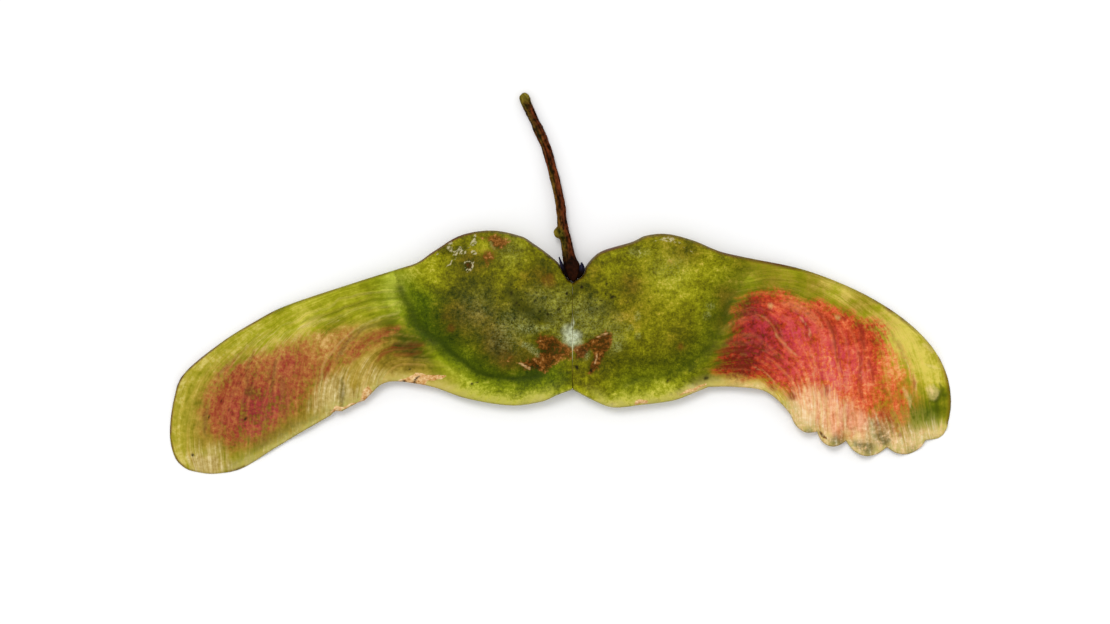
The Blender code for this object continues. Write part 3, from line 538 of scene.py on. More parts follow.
RIGHT_MARKS = {
    "lush": [glow(35.6, -13.4, 1.8, 0.9), glow(37, -11.4, 1, 0.5)],
    "bare": [glow(36.8, -16, 1.2, 0.8)],
    "sage": [
        area([(29.4, -15), (31, -13.6), (33.4, -13), (37.4, -14.6), (36, -17), (31, -18.4),
            (28.4, -17.6)], 0.9, 0.8),
    ],
    "frost": [
        dot(-0.1, -6.1, 0.75, 0.75, 0.7), dot(0.6, -5.6, 0.4, 0.3), line([(0, -4), (0, -6.8)], 0.3, 0.5),
    ],
    "brown": [
        glow(2, 0.8, 1.5, 0.4), glow(5.8, -0.4, 1.6, 0.4), glow(9, 3.4, 2.4, 0.35),
        glow(12, 2.4, 2, 0.35), glow(5, -4, 2, 0.35), glow(2.5, -7.8, 1.6, 0.4), glow(8.4, -3, 3.2, 0.3),
        glow(15.4, -1.8, 1.6, 0.5), glow(14.8, -4.4, 1.4, 0.4), glow(10.8, -6.8, 1.8, 0.3),
        glow(20, 0.2, 2, 0.5), glow(24.5, -0.8, 2.2, 0.55), glow(28.6, -2.6, 2.2, 0.55),
        glow(31.6, -4.8, 1.8, 0.5), glow(16.5, 1.2, 2, 0.3),
    ],
    # The ground's own tone, with painted shade: the darker places along the crease, the nutlet's wrinkles,
    # the crease's end, the seam under the stalk and beside the tip's bump.
    "glow": [
        even(0.44), glow(10.2, 0, 3.4, 0.22), glow(8.3, -2, 2.2, 0.1), glow(4, 0.8, 2, 0.1),
        glow(3.2, -3.1, 1.5, -0.12), glow(5.8, -1, 1.3, -0.12), glow(11.6, -5.4, 1.8, -0.04),
        glow(8, -9.2, 2.4, -0.04), glow(6, -4.6, 2.2, 0.12), glow(5, -11.6, 2.2, 0.28),
        glow(9, -11.4, 2.2, 0.32), glow(12.6, -10, 1.4, -0.14), glow(13, -3, 1.2, 0.12),
        glow(18.5, 0.2, 3, -0.12), glow(27.5, -2.2, 3, 0.1), glow(33.5, -6, 3.4, 0.42),
        glow(35.6, -8.6, 2.2, 0.24), glow(4.4, -8.4, 1.8, -0.08), glow(14.5, 0.2, 2.4, 0.1),
        # The first two here are painted shade beside the bump near the tip.
        glow(36, -13.2, 1.4, -0.36), glow(37.2, -11.6, 0.8, -0.3), glow(15.8, 0.8, 1.6, 0.16),
        glow(15.6, -7, 1.6, -0.22), glow(21.8, -1.3, 1.4, -0.12), glow(0.8, -1, 1, -0.2),
        glow(9.8, -9.3, 1.2, -0.12), glow(3.8, -9.3, 1.6, -0.12), glow(9.2, 2.8, 1.6, 0.1),
    ],
    "dark": [
        # Painted shade: this stroke and the one three lines on are the shadows of the nutlet's wrinkles, and
        # the dot below is the shadow in the seam under the stalk.
        line([(1.9, -3.2), (3.1, -3), (4.5, -3.4)], 1.2, 0.65, 0.95), glow(1, -7.4, 0.9, 0.7),
        dot(0.2, -1.1, 0.7, 0.6, 0.9),
        area([(29.6, -14.2), (31.8, -14.4), (31.6, -16.6), (30, -16.4)], 0.8, 0.6),
        line([(4.8, -1.1), (5.8, -0.8), (7, -1.2)], 0.9, 0.35, 0.95),
        line([(15.9, -2.4), (15.4, -3.5), (15.2, -4.5)], 0.5, 0.6),
        line([(15.8, -4), (17.2, -3.5), (18.6, -3.5)], 0.4, 0.5),
        # Painted shade below and to the right of the bump near the tip: this patch and the next stroke.
        area([(34.4, -12.2), (35.8, -11.9), (37.5, -12.6), (37.8, -13.6), (36.8, -14.4), (35.2, -15),
            (34, -15.2), (33.8, -13.8)], 0.9, 0.35),
        line([(36.9, -10.6), (37, -11.4), (36.6, -12.1), (35.7, -12.3)], 0.4, 0.7),
        line([(32, -5.6), (32.9, -7.2), (33.5, -9.2)], 0.5, 0.4),
        line([(30.6, -12.2), (31.4, -13.6), (32, -15.4)], 0.6, 0.4), dot(26.4, -16.4, 0.8, 0.8),
        dot(28.6, -16.6, 0.5, 0.7), dot(29.4, -17, 0.7, 0.9), dot(23.6, -15.6, 0.5, 0.7),
        dot(31.1, -16.2, 0.6, 0.6), dot(34, -17.4, 0.6, 0.4), dot(13.4, -10.1, 0.3, 0.5),
        glow(12.8, -10.1, 0.8, 0.4),
    ],
    "ember": [
        line([(24.6, -3.4), (25.4, -4.5), (26.1, -5.8), (26.4, -7), (26.6, -8.4)], 0.4, 0.9),
        line([(28.2, -4.5), (28.9, -5.2), (29.1, -6), (29.2, -7.2)], 0.45, 0.9),
        line([(28.6, -7.5), (28.8, -8.8), (28.6, -10.1), (28.9, -11.8), (29.2, -12.6)], 0.4, 0.8),
        line([(29.6, -8.2), (29.9, -9.4), (30.1, -10.8)], 0.35, 0.7),
        line([(22.9, -4.2), (23.4, -5), (23.4, -5.8)], 0.45, 0.8),
        line([(19.6, -4.5), (20.2, -5.2), (20.6, -6.2)], 0.4, 0.7),
        line([(14.3, -7.3), (15.7, -7.2)], 0.5, 0.8), line([(31.1, -10.4), (31.4, -11.8)], 0.4, 0.7),
        line([(14.9, -8.8), (16.8, -9.3), (18.4, -9.6)], 1.1, 0.4),
        line([(25.4, -10.8), (25.6, -12.2)], 0.5, 0.7),
        line([(17.9, -5), (18.4, -6.2), (18.1, -7.5)], 0.7, 0.6),
        line([(34, -9.8), (34.2, -11.1)], 0.45, 0.6), dot(27.1, -4, 0.3, 1), dot(20.1, -10.9, 0.3, 0.9),
        dot(21.9, -11.8, 0.4, 1), dot(30.9, -13.8, 0.28, 0.9), dot(30.4, -14.7, 0.3, 0.8),
        dot(32.4, -14.8, 0.25, 0.8), dot(32.8, -15.7, 0.25, 0.8), dot(10.8, -6.8, 0.35, 0.5),
    ],
    "light": [
        line([(20.2, -5.4), (20.6, -6), (21.6, -7), (22.4, -7.8)], 0.1, 0.5),
        line([(22.2, -3.6), (23.1, -4.3), (23.6, -5.2), (23.6, -6)], 0.12, 0.6),
        line([(23.6, -7), (24.1, -8.4), (24.2, -10.1)], 0.12, 0.5),
        line([(17.9, -8.8), (19.6, -9.8), (20.4, -11.1)], 0.12, 0.5),
        line([(23.1, -10.7), (23.2, -12.4), (23.6, -14.2)], 0.25, 0.8),
        line([(24.1, -10.7), (24.1, -12.4), (24.2, -14.4)], 0.25, 0.8),
        line([(24.6, -11.2), (24.8, -13.2), (24.9, -14.8)], 0.25, 0.8),
        line([(25.1, -10.7), (25.4, -12.7), (25.8, -15.2)], 0.25, 0.8),
        line([(26.4, -12.7), (26.6, -14.8)], 0.25, 0.8), line([(27.1, -12.1), (27.4, -14.7)], 0.25, 0.8),
        line([(21.1, -2.5), (22.8, -3.1), (24.1, -4), (24.8, -5)], 0.8, 0.25), dot(19.9, -2.9, 0.25, 0.9),
        dot(26.4, -4, 0.25, 0.9), line([(33.2, -11.2), (34, -12.8)], 0.5, 0.9),
        line([(35.4, -8.6), (36.8, -9.2)], 0.4, 0.8), line([(35, -6.7), (35.9, -7.5)], 0.5, 0.7),
        # The last dot, on the bump near the tip, is a painted highlight.
        line([(35.5, -15.4), (37, -15.7)], 0.5, 0.9), dot(25.6, -15.7, 0.35, 0.9),
        dot(27.4, -15.4, 0.3, 0.9), dot(28.4, -15.9, 0.4, 0.9), dot(36.1, -11.4, 0.6, 2, 0.5),
    ],
    "red": [
        area([(16.4, -4), (16.8, -2.6), (18, -1.9), (20.2, -1.6), (22.8, -2), (25.4, -2.9), (27.8, -3.9),
            (29.4, -5.2), (30.1, -7), (30.3, -9.4), (29.8, -11.8), (29, -14), (27.4, -15.8),
            (25.4, -15.2), (23.4, -12.4), (21.9, -11.4), (20.6, -10.7), (18.6, -10.2), (16.2, -10.1),
            (14.4, -9.3), (14.8, -7.8), (15.8, -6.8), (16.1, -5.5)], 1.5),
        area([(30, -4.6), (33.6, -7.8), (34.6, -12), (33, -16), (28.5, -16), (29.5, -10)], 2, 0.38),
        glow(15.8, -8.8, 1.6, -0.25), glow(22.8, -2, 1.3, -0.3), glow(30.8, -5.2, 1.2, 0.3),
        glow(18.4, -10.6, 1, -0.3),
    ],
    "tone": [
        even(0.48), glow(17.5, -2.5, 1.8, -0.3), glow(15.8, -9.2, 2.4, -0.5), glow(18.5, -5.8, 3, -0.3),
        glow(24.6, -7.4, 2.6, 0.16), glow(27, -11.5, 3.6, 0.34), glow(24, -12.5, 2.4, 0.3),
        glow(23, -2.6, 1.6, 0.1), glow(29.5, -6.5, 2, -0.08), glow(32.6, -9, 1.8, 0.35),
        glow(15.6, -7.2, 1.6, -0.42), glow(20.4, -2.6, 1.2, 0.15),
    ],
    "pale": [
        area([(22.4, -10.6), (23.9, -10.4), (25.8, -11.6), (28.4, -13), (31, -14.2), (33.2, -15.6),
            (36.2, -14.9), (37.4, -16.2), (32.8, -18.4), (26.8, -17.6), (22.8, -15.6), (21.9, -13)], 1.9),
        area([(16.5, -10.3), (20, -11), (21.5, -13.3), (18, -11.2), (14, -10.9)], 0.4, 0.2),
        glow(24.3, -13.8, 1.6, 0.4),
        area([(31.4, -5.6), (34.2, -8.4), (35.2, -12), (33.6, -11.4), (32.2, -8.6)], 0.9, 0.22),
        # Painted highlight on the bump near the tip.
        dot(36, -11.3, 0.4, 0.55, 0.8),
        area([(12.8, -10.8), (7.5, -12), (4, -12.6), (7, -12.9), (12.8, -11.4)], 0.5, 0.2),
    ],
    "magenta": [
        glow(22.4, -5.2, 2, 0.9), glow(26, -8, 2.4, 0.9), glow(25.6, -11.4, 1.8, 0.8),
        glow(18.8, -4.4, 1.8, 0.45), glow(18.6, -7, 1.8, 0.3), glow(28.8, -9.5, 1.6, 0.5),
        glow(21.8, -9.2, 1.8, 0.6), glow(27.6, -13.6, 1.4, 0.5),
    ],
    "bloom": [
        area([(-0.3, -2.2), (1.9, -2), (4, -2.2), (5, -4), (5.2, -6.2), (4, -7.5), (2.8, -5.2), (1.4, -6),
            (-0.3, -6.5)], 0.9, 0.32),
        dot(-0.1, -6.2, 0.95, 1, 0.5), dot(1.4, -7.7, 0.4, 0.8), dot(6.3, -3.8, 0.3, 0.6),
        dot(5.7, -5, 0.35, 0.6), dot(4.5, -7, 0.4, 0.6), dot(13.6, -2.8, 0.35, 0.6),
        dot(13.3, -3.8, 0.3, 0.6), dot(6.5, -5.8, 0.3, 0.5), glow(9.8, 0.7, 1.8, 0.2),
        line([(5.8, 2.5), (7.5, 2.5)], 1.2, 0.35, 0.9), glow(3.6, -3.2, 1.3, -0.25),
    ],
    "speck": [glow(3, -2.6, 2.6, 0.9), glow(6, -1.5, 2.4, 0.35), glow(0.5, -2, 1.2, 0.6)],
    "rust": [
        area([(0.2, -7), (1.4, -6.3), (2.4, -5.7), (3.2, -5.2), (4, -5.5), (4, -6.3), (3.5, -7.2),
            (3.1, -8.1), (2.5, -9.2), (1.9, -9.7), (1.4, -9.6), (1.9, -8.4), (2.2, -7.7), (1.9, -7.3),
            (1.1, -8), (0.2, -8.2)], 0.32),
        glow(9.9, 0.9, 0.8, 0.3), glow(12.8, -0.2, 0.8, 0.2),
        line([(24.7, -15.4), (25.3, -16.1)], 0.5, 0.9), dot(9.6, -10.2, 0.3, 0.5),
    ],
    "tan": [
        line([(3.3, -5.5), (2.5, -5.8)], 0.8, 0.6, 0.9), line([(2.6, -7.8), (2.2, -8.7)], 0.5, 0.5, 0.9),
        line([(6.3, -12.6), (7.3, -12.3)], 0.8, 0.8),
        line([(10.8, -11.8), (12.8, -10.9), (13.4, -10.7)], 0.4, 0.7),
    ],
    "crust": [
        line([(8.2, 3.6), (9.6, 3.8), (10.8, 3.5)], 0.5, 0.62, 0.9),
        line([(11.1, 3.1), (11.8, 2.5)], 0.6, 0.6, 0.9), line([(5.8, 2.7), (7.5, 2.6)], 0.6, 0.45, 0.9),
    ],
    "dots": [
        dot(4, -1.9, 0.16), dot(9.4, -10.3, 0.13), dot(3.4, -0.7, 0.12), dot(8.8, -4.8, 0.1),
        dot(0.9, -1, 0.15), dot(13.4, -10.2, 0.15), dot(1.8, -9.3, 0.15), dot(0.4, -9, 0.18),
        dot(0.75, -7.35, 0.55, 0.45, 1),
    ],
}

RIGHT = Samara(
    name="samara_right",
    side=1,
    seed=8,
    outline=RIGHT_OUTLINE,
    shoulder=(36.5, -7.6),
    heel=(37.5, -15.1),
    edge_wave=0.32,
    edge_waves=7,
    veins=RIGHT_VEINS,
    crease=[
        (16.6, -0.9), (15.8, -1.8), (15.3, -2.6), (14.9, -4), (14.3, -5.2), (13.8, -6.5), (13.2, -7.5),
        (12.2, -8.2), (11.2, -8.9), (9.8, -9.6), (8, -9.9), (6.3, -10.2), (5.2, -10.8),
    ],
    neck=[(17.6, 2.8), (16.8, 0.1), (15.7, -2), (14.4, -5), (13.6, -7), (12.8, -9.1), (13.2, -11.8)],
    band_depth=(3.6, 2.8, 4.2),
    margin=0.35,
    rim=0.52,
    lush=0.45,
    crease_shade_tones=(0.55, 0.3),
    marks=RIGHT_MARKS,
    reds=[
        (0, (104, 28, 4)), (0.25, (152, 42, 16)), (0.5, (190, 64, 28)), (0.75, (222, 98, 54)),
        (1, (240, 156, 98)),
    ],
    tans=[
        (0, (112, 86, 4)), (0.35, (150, 118, 10)), (0.6, (182, 144, 30)), (0.85, (212, 176, 58)),
        (1, (236, 210, 108)),
    ],
    creams=[(0, (186, 136, 82)), (0.4, (230, 186, 132)), (0.7, (250, 214, 166)), (1, (255, 242, 206))],
)


# Shape.


def length_shares(path):
    """How far along the path each of its points lies, from 0 to 1."""
    steps = np.linalg.norm(np.diff(path, axis=0), axis=1)
    lengths = np.concatenate([[0], np.cumsum(steps)])
    return lengths / lengths[-1]


def point_along(path, share):
    """The points at these shares of the path's length."""
    shares = length_shares(path)
    return np.stack([np.interp(share, shares, path[:, k]) for k in range(path.shape[1])], axis=-1)


def nearest(path, point):
    return int(np.argmin(np.linalg.norm(path - np.array(point), axis=1)))


def edges_of(samara):
    """The samara's leading edge, the round of its tip, and its trailing edge, each from the seam's side."""
    outline = np.vstack([smooth_path(stretch) for stretch in samara.outline])
    shoulder, heel = nearest(outline, samara.shoulder), nearest(outline, samara.heel)
    return outline[: shoulder + 1], outline[shoulder : heel + 1], outline[heel:][::-1]


def corner_shares(samara, trailing):
    """Where the trailing edge has its corners, as shares of its length."""
    corners = [stretch[0] for stretch in samara.outline[1:]]
    shares = length_shares(trailing)[[nearest(trailing, corner) for corner in corners]]
    return np.sort(shares[shares < 1])


def pinned(columns, corners):
    """Shares of the trailing edge for these columns, shifted so that every corner has a column on it."""
    held = [int(np.argmin(np.abs(columns - corner))) for corner in corners]
    return np.interp(columns, [0, *columns[held], 1], [0, *corners, 1])


def swept(column, across):
    """How far out along the samara a column has come at this crossing: columns lean to the tip."""
    out = np.clip((column - 0.2) / 0.8, 0, 1)
    return column + GRID_SWEEP * 4 * out * (1 - out) * np.sqrt(across)


def plan_of(samara, column, across):
    """Plan points of the blade, spread evenly between its four edges, and how far out each lies."""
    leading, tip, trailing = edges_of(samara)
    out = swept(column, across)
    ends = swept(column[:, 0], 1)
    foot_share = np.interp(out, ends, pinned(ends, corner_shares(samara, trailing)))
    top, foot = point_along(leading, out), point_along(trailing, foot_share)
    seam, end = point_along(np.array([leading[0], trailing[0]]), across), point_along(tip, across)
    u, v = out[..., None], np.broadcast_to(across, out.shape)[..., None]
    upper_chord = (1 - u) * leading[0] + u * leading[-1]
    lower_chord = (1 - u) * trailing[0] + u * trailing[-1]
    along, crosswise = (1 - v) * top + v * foot, (1 - u) * seam + u * end
    return along + crosswise - (1 - v) * upper_chord - v * lower_chord, out


def cushion(plan):
    """How far inside the nutlet's cushion a point is: 1 at its middle, 0 on its border, below 0 outside."""
    x, y = plan[..., 0] - NUTLET_CENTRE[0], plan[..., 1] - NUTLET_CENTRE[1]
    lengthwise = (-x * math.cos(NUTLET_TILT) + y * math.sin(NUTLET_TILT)) / NUTLET_HALF_LENGTH
    crosswise = (x * math.sin(NUTLET_TILT) + y * math.cos(NUTLET_TILT)) / NUTLET_HALF_WIDTH
    return 1 - lengthwise**2 - crosswise**2


def rib_at(across, out, rise, peak):
    """The rib along the leading edge, which starts a little way out from the seam."""
    return rise * across / peak * np.exp(1 - across / peak) * smooth_step(0.02, 0.2, out)


def solid_half(plan, across, out, swell):
    """Half the thickness of the solid's blade, which the shown blade's underside follows."""
    shoulder = SHOULDER_RISE * (1 - smooth_step(0.5, 4.0, plan[..., 0])) * smooth_step(0, 0.12, 1 - across)
    rib = rib_at(across, out, SOLID_RIB_RISE, SOLID_RIB_PEAK)
    return SOLID_BLADE_HALF + NUTLET_RISE * swell + shoulder + rib


def solid_middle(samara, half, across, out):
    """The height of the solid blade's middle."""
    wing = np.clip((out - 0.4) / 0.6, 0, 1)
    level = NUTLET_LEVEL + (TIP_LEVEL - NUTLET_LEVEL) * smooth_step(0.36, 1, out)
    camber = WING_CAMBER * np.sin(np.pi * wing) * np.sin(np.pi * across)
    lift = TRAILING_LIFT * np.sin(np.pi * wing) * across**2
    wave = samara.edge_wave * np.sin(2 * np.pi * samara.edge_waves * wing) * across**3
    return np.maximum(level + camber + lift + wave * np.sin(np.pi * wing) ** 0.5, half - REST_CUT)


def vein_field(samara, plan):
    """The number of the vein at each point, rising to the leading edge, and the gap to the nearest vein."""
    gaps = np.stack([signed_gap(plan, smooth_path(vein, 4)) for vein in samara.veins])
    lower, upper = gaps[:-1], gaps[1:]
    number = np.clip(lower / np.maximum(lower - upper, 1e-6), 0, 1).sum(axis=0)
    closest = np.argmin(np.abs(gaps), axis=0)[None]
    return number, np.take_along_axis(gaps, closest, 0)[0], closest[0]


def evenly_closer(count, ends):
    """Shares from 0 to 1 that lie closer together near both ends."""
    t = np.linspace(0, 1, count)
    return t - ends * np.sin(2 * np.pi * t) / (2 * np.pi)


def faces_of(columns, rows, flip):
    """Quads of two sheets of points that share their layout, walled in on all four sides."""
    index = np.arange(columns * rows).reshape(columns, rows)
    top = np.stack([index[:-1, :-1], index[1:, :-1], index[1:, 1:], index[:-1, 1:]], -1).reshape(-1, 4)
    rim = np.concatenate([index[:, 0], index[-1, 1:], index[-2::-1, -1], index[0, -2:0:-1]])
    following, below = np.roll(rim, -1), columns * rows
    wall = np.stack([rim, rim + below, following + below, following], -1)
    faces = np.concatenate([top, top[:, ::-1] + below, wall])
    return (faces[:, ::-1] if flip else faces).tolist()


def add_piece(name, points, faces, replaced, material):
    """A piece of the fruit, from points in millimetres of plan, standing for a solid."""
    points = points + np.array([*SEAM_TOP, 0])
    mesh = bpy.data.meshes.new(name)
    mesh.from_pydata((points * MM).tolist(), [], faces)
    mesh.shade_smooth()
    mesh.materials.append(material)
    piece = bpy.data.objects.new(name, mesh)
    bpy.context.scene.collection.objects.link(piece)
    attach(piece, "root")
    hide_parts(replaced)
    return piece


def store(piece, name, values):
    """Keeps one number, or a vector, for each point of the piece, for its material to read."""
    vector = values.ndim == 2
    kind, key = ("FLOAT_VECTOR", "vector") if vector else ("FLOAT", "value")
    layer = piece.data.attributes.new(name, kind, "POINT")
    layer.data.foreach_set(key, np.ascontiguousarray(values, np.float32).ravel())


def survey(samara, plan, out):
    """Where each point of the skin lies: its gaps to the veins, edges, neck and crease."""
    leading, tip, trailing = edges_of(samara)
    x, y = plan[..., 0], plan[..., 1]
    warp = np.stack([clouds(x * 0.9, y * 0.9, samara.seed + k) for k in (5, 6)], -1)
    number, gap, vein = vein_field(samara, plan + VEIN_WARP * warp)
    lead = np.abs(signed_gap(plan, np.vstack([leading[::4], tip[::4]])))
    trail = np.abs(signed_gap(plan, trailing[::3]))
    neck = signed_gap(plan, smooth_path(samara.neck, 4))
    wing = smooth_step(-1.2, 1.6, neck)
    depth = np.interp(out, [0.4, 0.7, 1.0], samara.band_depth)
    return SimpleNamespace(
        plan=plan, x=x, y=y, out=out, warp=warp, number=number, gap=gap, vein=vein, lead=lead, trail=trail,
        reach=np.linalg.norm(plan - np.array(NECK_CENTRE), axis=-1),
        edge=np.minimum(lead, trail),
        wing=wing,
        band=(1 - smooth_step(-1.8, 1.8, lead - depth)) * wing,
        inner=smooth_step(0.2, 4.5, neck) * smooth_step(-1.6, 2.4, lead - depth),
        fold=signed_gap(plan, smooth_path(samara.crease, 4)),
    )


def add_vein_marks(masks, samara, at):
    """The veins with finer threads between them, and a red glow along their sides."""
    shown = np.clip(0.5 + 0.8 * cloud(at.reach * 0.4, at.vein * 5.3 + 9, samara.seed + 20), 0, 1) * at.wing
    thread = 1 - np.abs(cloud(at.number * 8.1, at.reach * 0.22, samara.seed + 21)) / 0.25
    fade = smooth_step(0.4, 1.4, at.lead)
    lines = np.exp(-((at.gap / VEIN_HALF_WIDTH) ** 2)) * shown * (1 - 0.8 * at.band)
    masks["vein"] = (lines + 0.4 * np.clip(thread, 0, 1) * at.wing) * fade
    beside = np.exp(-(((at.gap - EMBER_GAP) / EMBER_WIDTH) ** 2))
    masks["ember"] = masks["ember"] + 0.5 * beside * shown * fade * masks["red"]


def add_crease_marks(masks, samara, at):
    """The crease between nutlet and wing: its dark line and soft shade, both painted shade, its flange, and a
    lusher green close to it.
    """
    fold = at.fold
    sharp, broad = samara.crease_shade_tones
    start = smooth_step(12.5, 15.5, at.x)
    core = np.exp(-((fold / (0.42 + 0.1 * start)) ** 2)) * (sharp - 0.15 * start)
    within = np.exp(-((np.clip(-fold, 0, None) / 2.4) ** 2))
    beyond = np.exp(-((np.clip(fold, 0, None) / 0.8) ** 2))
    shade = np.maximum(core, broad * np.where(fold < 0, within, beyond))
    # Painted shade: the dark line in the crease and the soft shade on either side of it.
    masks["crease"] = shade * smooth_step(1.5, 3.5, at.x)
    masks["flange"] = np.exp(-(((fold - 1.8) / 1.0) ** 2)) * (1 - at.wing)
    near_crease = np.exp(-((fold / np.where(fold < 0, 1.8, 2.6)) ** 2))
    masks["lush"] = masks["lush"] + samara.lush * (near_crease + 0.55 * at.band * (1 - at.out))


def add_edge_marks(masks, samara, at):
    """The brown rim of the leading edge, the pale margin of the trailing one, a lighter ground on the band
    and margin, painted light along the thin trailing edge, and a painted highlight on the flange's ridge
    beyond the crease.
    """
    patchy = 0.8 + 0.4 * cloud(at.out * 14, at.out * 0, samara.seed + 22)
    leading_rim = patchy * smooth_step(samara.rim, 0.06, at.edge)
    trailing_rim = 0.4 * smooth_step(0.16, 0.03, at.edge)
    masks["rim"] = np.where(at.lead > 0.4, trailing_rim, leading_rim) * (1 - masks["bare"])
    margin = smooth_step(1.7, 0.1, at.trail) * smooth_step(0.6, 3.5, at.x)
    masks["margin"] = np.maximum(margin, masks["sage"])
    masks["pale"] = masks["pale"] + samara.margin * margin
    # The last term is painted light along the thin trailing edge; the band and margin terms are lighter
    # ground.
    light = 0.30 * at.band + 0.24 * margin + 0.26 * smooth_step(1.0, 0.1, at.trail)
    # Painted highlight on the flange's ridge beyond the crease.
    ridge_highlight = 0.12 * np.exp(-(((at.fold - 1.3) / 0.6) ** 2)) * smooth_step(6, 12, at.x)
    masks["glow"] = masks["glow"] + light + ridge_highlight


def marks_of(samara, at):
    """All masks of a samara's skin: the listed marks, and those that follow its form."""
    uneven = at.plan + MARK_WARP * at.warp
    masks = {name: sum(mark(uneven) for mark in marks) for name, marks in samara.marks.items()}
    masks["wing"] = at.wing
    inner = np.maximum(at.inner, 0.5 * smooth_step(0.5, 0.95, at.out))
    masks["inner"] = inner * (1 - np.clip(masks["lush"], 0, 1))
    add_vein_marks(masks, samara, at)
    add_crease_marks(masks, samara, at)
    add_edge_marks(masks, samara, at)
    return masks


# Materials.


def linear(red, green, blue):
    """A screen colour, 0 to 255, as the linear colour that the shaders take."""
    def one(value):
        value /= 255
        return value / 12.92 if value <= 0.04045 else ((value + 0.055) / 1.055) ** 2.4

    return (one(red), one(green), one(blue), 1)


class Value:
    """An output in a material's node tree, which adds and multiplies like a number."""

    def __init__(self, paint, socket):
        self.paint = paint
        self.socket = socket

    def __add__(self, other):
        return self.paint.math("ADD", self, other)

    def __mul__(self, other):
        return self.paint.math("MULTIPLY", self, other)

    def __rsub__(self, other):
        return self.paint.math("SUBTRACT", other, self)

    __radd__ = __add__
    __rmul__ = __mul__


class Paint:
    """A material's node tree, with a short method for each kind of node that it uses."""

    def __init__(self, name):
        self.material = bpy.data.materials.new(name)
        self.material.use_nodes = True
        self.tree = self.material.node_tree
        self.shader = self.tree.nodes["Principled BSDF"]

    def feed(self, socket, value):
        if isinstance(value, Value):
            self.tree.links.new(value.socket, socket)
        else:
            socket.default_value = value

    def node(self, kind, settings, inputs, output):
        """One output of a new node."""
        made = self.tree.nodes.new("ShaderNode" + kind)
        for key, value in settings.items():
            setattr(made, key, value)
        for key, value in inputs.items():
            self.feed(made.inputs[key], value)
        return Value(self, made.outputs[output])

    def mask(self, name):
        return self.node("Attribute", {"attribute_name": name}, {}, "Fac")

    def vector(self, name):
        return self.node("Attribute", {"attribute_name": name}, {}, "Vector")

    def math(self, operation, a, b=0.0):
        return self.node("Math", {"operation": operation}, {0: a, 1: b}, 0)

    def step(self, value, low, high):
        inputs = {"Value": value, "From Min": low, "From Max": high}
        return self.node("MapRange", {"interpolation_type": "SMOOTHSTEP"}, inputs, "Result")

    def broken(self, name, noise, low, high):
        """A mask with gaps in it, where the noise is low."""
        return self.mask(name) * self.step(noise, low, high)

    def noise(self, vector, scale, detail=2.0, rough=0.5):
        """Noise about 0, mostly from -0.25 to 0.25; scale is how many swells a millimetre holds."""
        scaled = self.node("VectorMath", {"operation": "MULTIPLY"}, {0: vector, 1: scale}, 0)
        inputs = {"Vector": scaled, "Scale": 1.0, "Detail": detail, "Roughness": rough}
        return self.math("SUBTRACT", self.node("TexNoise", {}, inputs, "Fac"), 0.5)

    def threads(self, vector, scale, width):
        """1 on thin wandering lines, 0 between them."""
        return 1.0 - self.step(self.math("ABSOLUTE", self.noise(vector, scale, 1.0)), 0.0, width)

    def mix(self, factor, a, b):
        inputs = {"Factor": factor, 6: a, 7: b}
        return self.node("Mix", {"data_type": "RGBA", "clamp_factor": True}, inputs, 2)

    def ramp(self, value, stops):
        """A colour chosen by value from stops of (place, colour)."""
        made = self.node("ValToRGB", {}, {"Fac": value}, "Color")
        elements = made.socket.node.color_ramp.elements
        while len(elements) < len(stops):
            elements.new(0.5)
        for element, (place, colour) in zip(elements, stops):
            element.position = place
            element.color = linear(*colour)
        return made

    def finish(self, colour, roughness, specular, relief=None):
        """The material, with its surface; relief is the height of its fine grain."""
        inputs = self.shader.inputs
        self.feed(inputs["Base Color"], colour)
        self.feed(inputs["Roughness"], roughness)
        self.feed(inputs["Specular IOR Level"], specular)
        if relief is not None:
            bump = {"Height": relief, "Distance": GRAIN_RELIEF * MM, "Strength": 1.0}
            self.feed(inputs["Normal"], self.node("Bump", {}, bump, "Normal"))
        return self.material


GREENS = [
    (0.00, (38, 46, 0)), (0.20, (70, 70, 2)), (0.40, (98, 94, 2)), (0.60, (130, 128, 6)),
    (0.80, (162, 160, 20)), (1.00, (206, 194, 72)),
]
LUSH_GREENS = [(0.0, (26, 44, 0)), (0.4, (82, 98, 0)), (0.7, (130, 144, 10)), (1.0, (192, 200, 66))]
BROWNS = [(0.0, (48, 30, 0)), (0.4, (98, 76, 8)), (0.7, (140, 112, 28)), (1.0, (196, 166, 76))]
RUSTS = [
    (0.0, (36, 16, 0)), (0.3, (78, 42, 2)), (0.55, (118, 68, 16)), (0.8, (156, 100, 44)),
    (1.0, (204, 158, 98)),
]
TAN_FLAKES = [(0.0, (110, 66, 16)), (0.4, (196, 140, 74)), (1.0, (250, 222, 168))]
GREENISH = linear(176, 170, 80)
PINK = linear(204, 58, 88)
# The colour of the painted shade in the crease.
CREASE_SHADE = linear(46, 60, 0)
POWDER = linear(174, 180, 118)
FROST = linear(212, 220, 190)
PIT = linear(34, 34, 6)
CRUST = linear(198, 188, 150)
RIM_BROWN = linear(88, 50, 6)
SPOT = linear(26, 20, 4)
WOOD_FOOT = linear(14, 5, 2)
MOSSY = [(0, (34, 32, 2)), (1, (136, 120, 36))]
FLOOR_WHITES = [(0, (253, 253, 253)), (1, (255, 255, 255))]


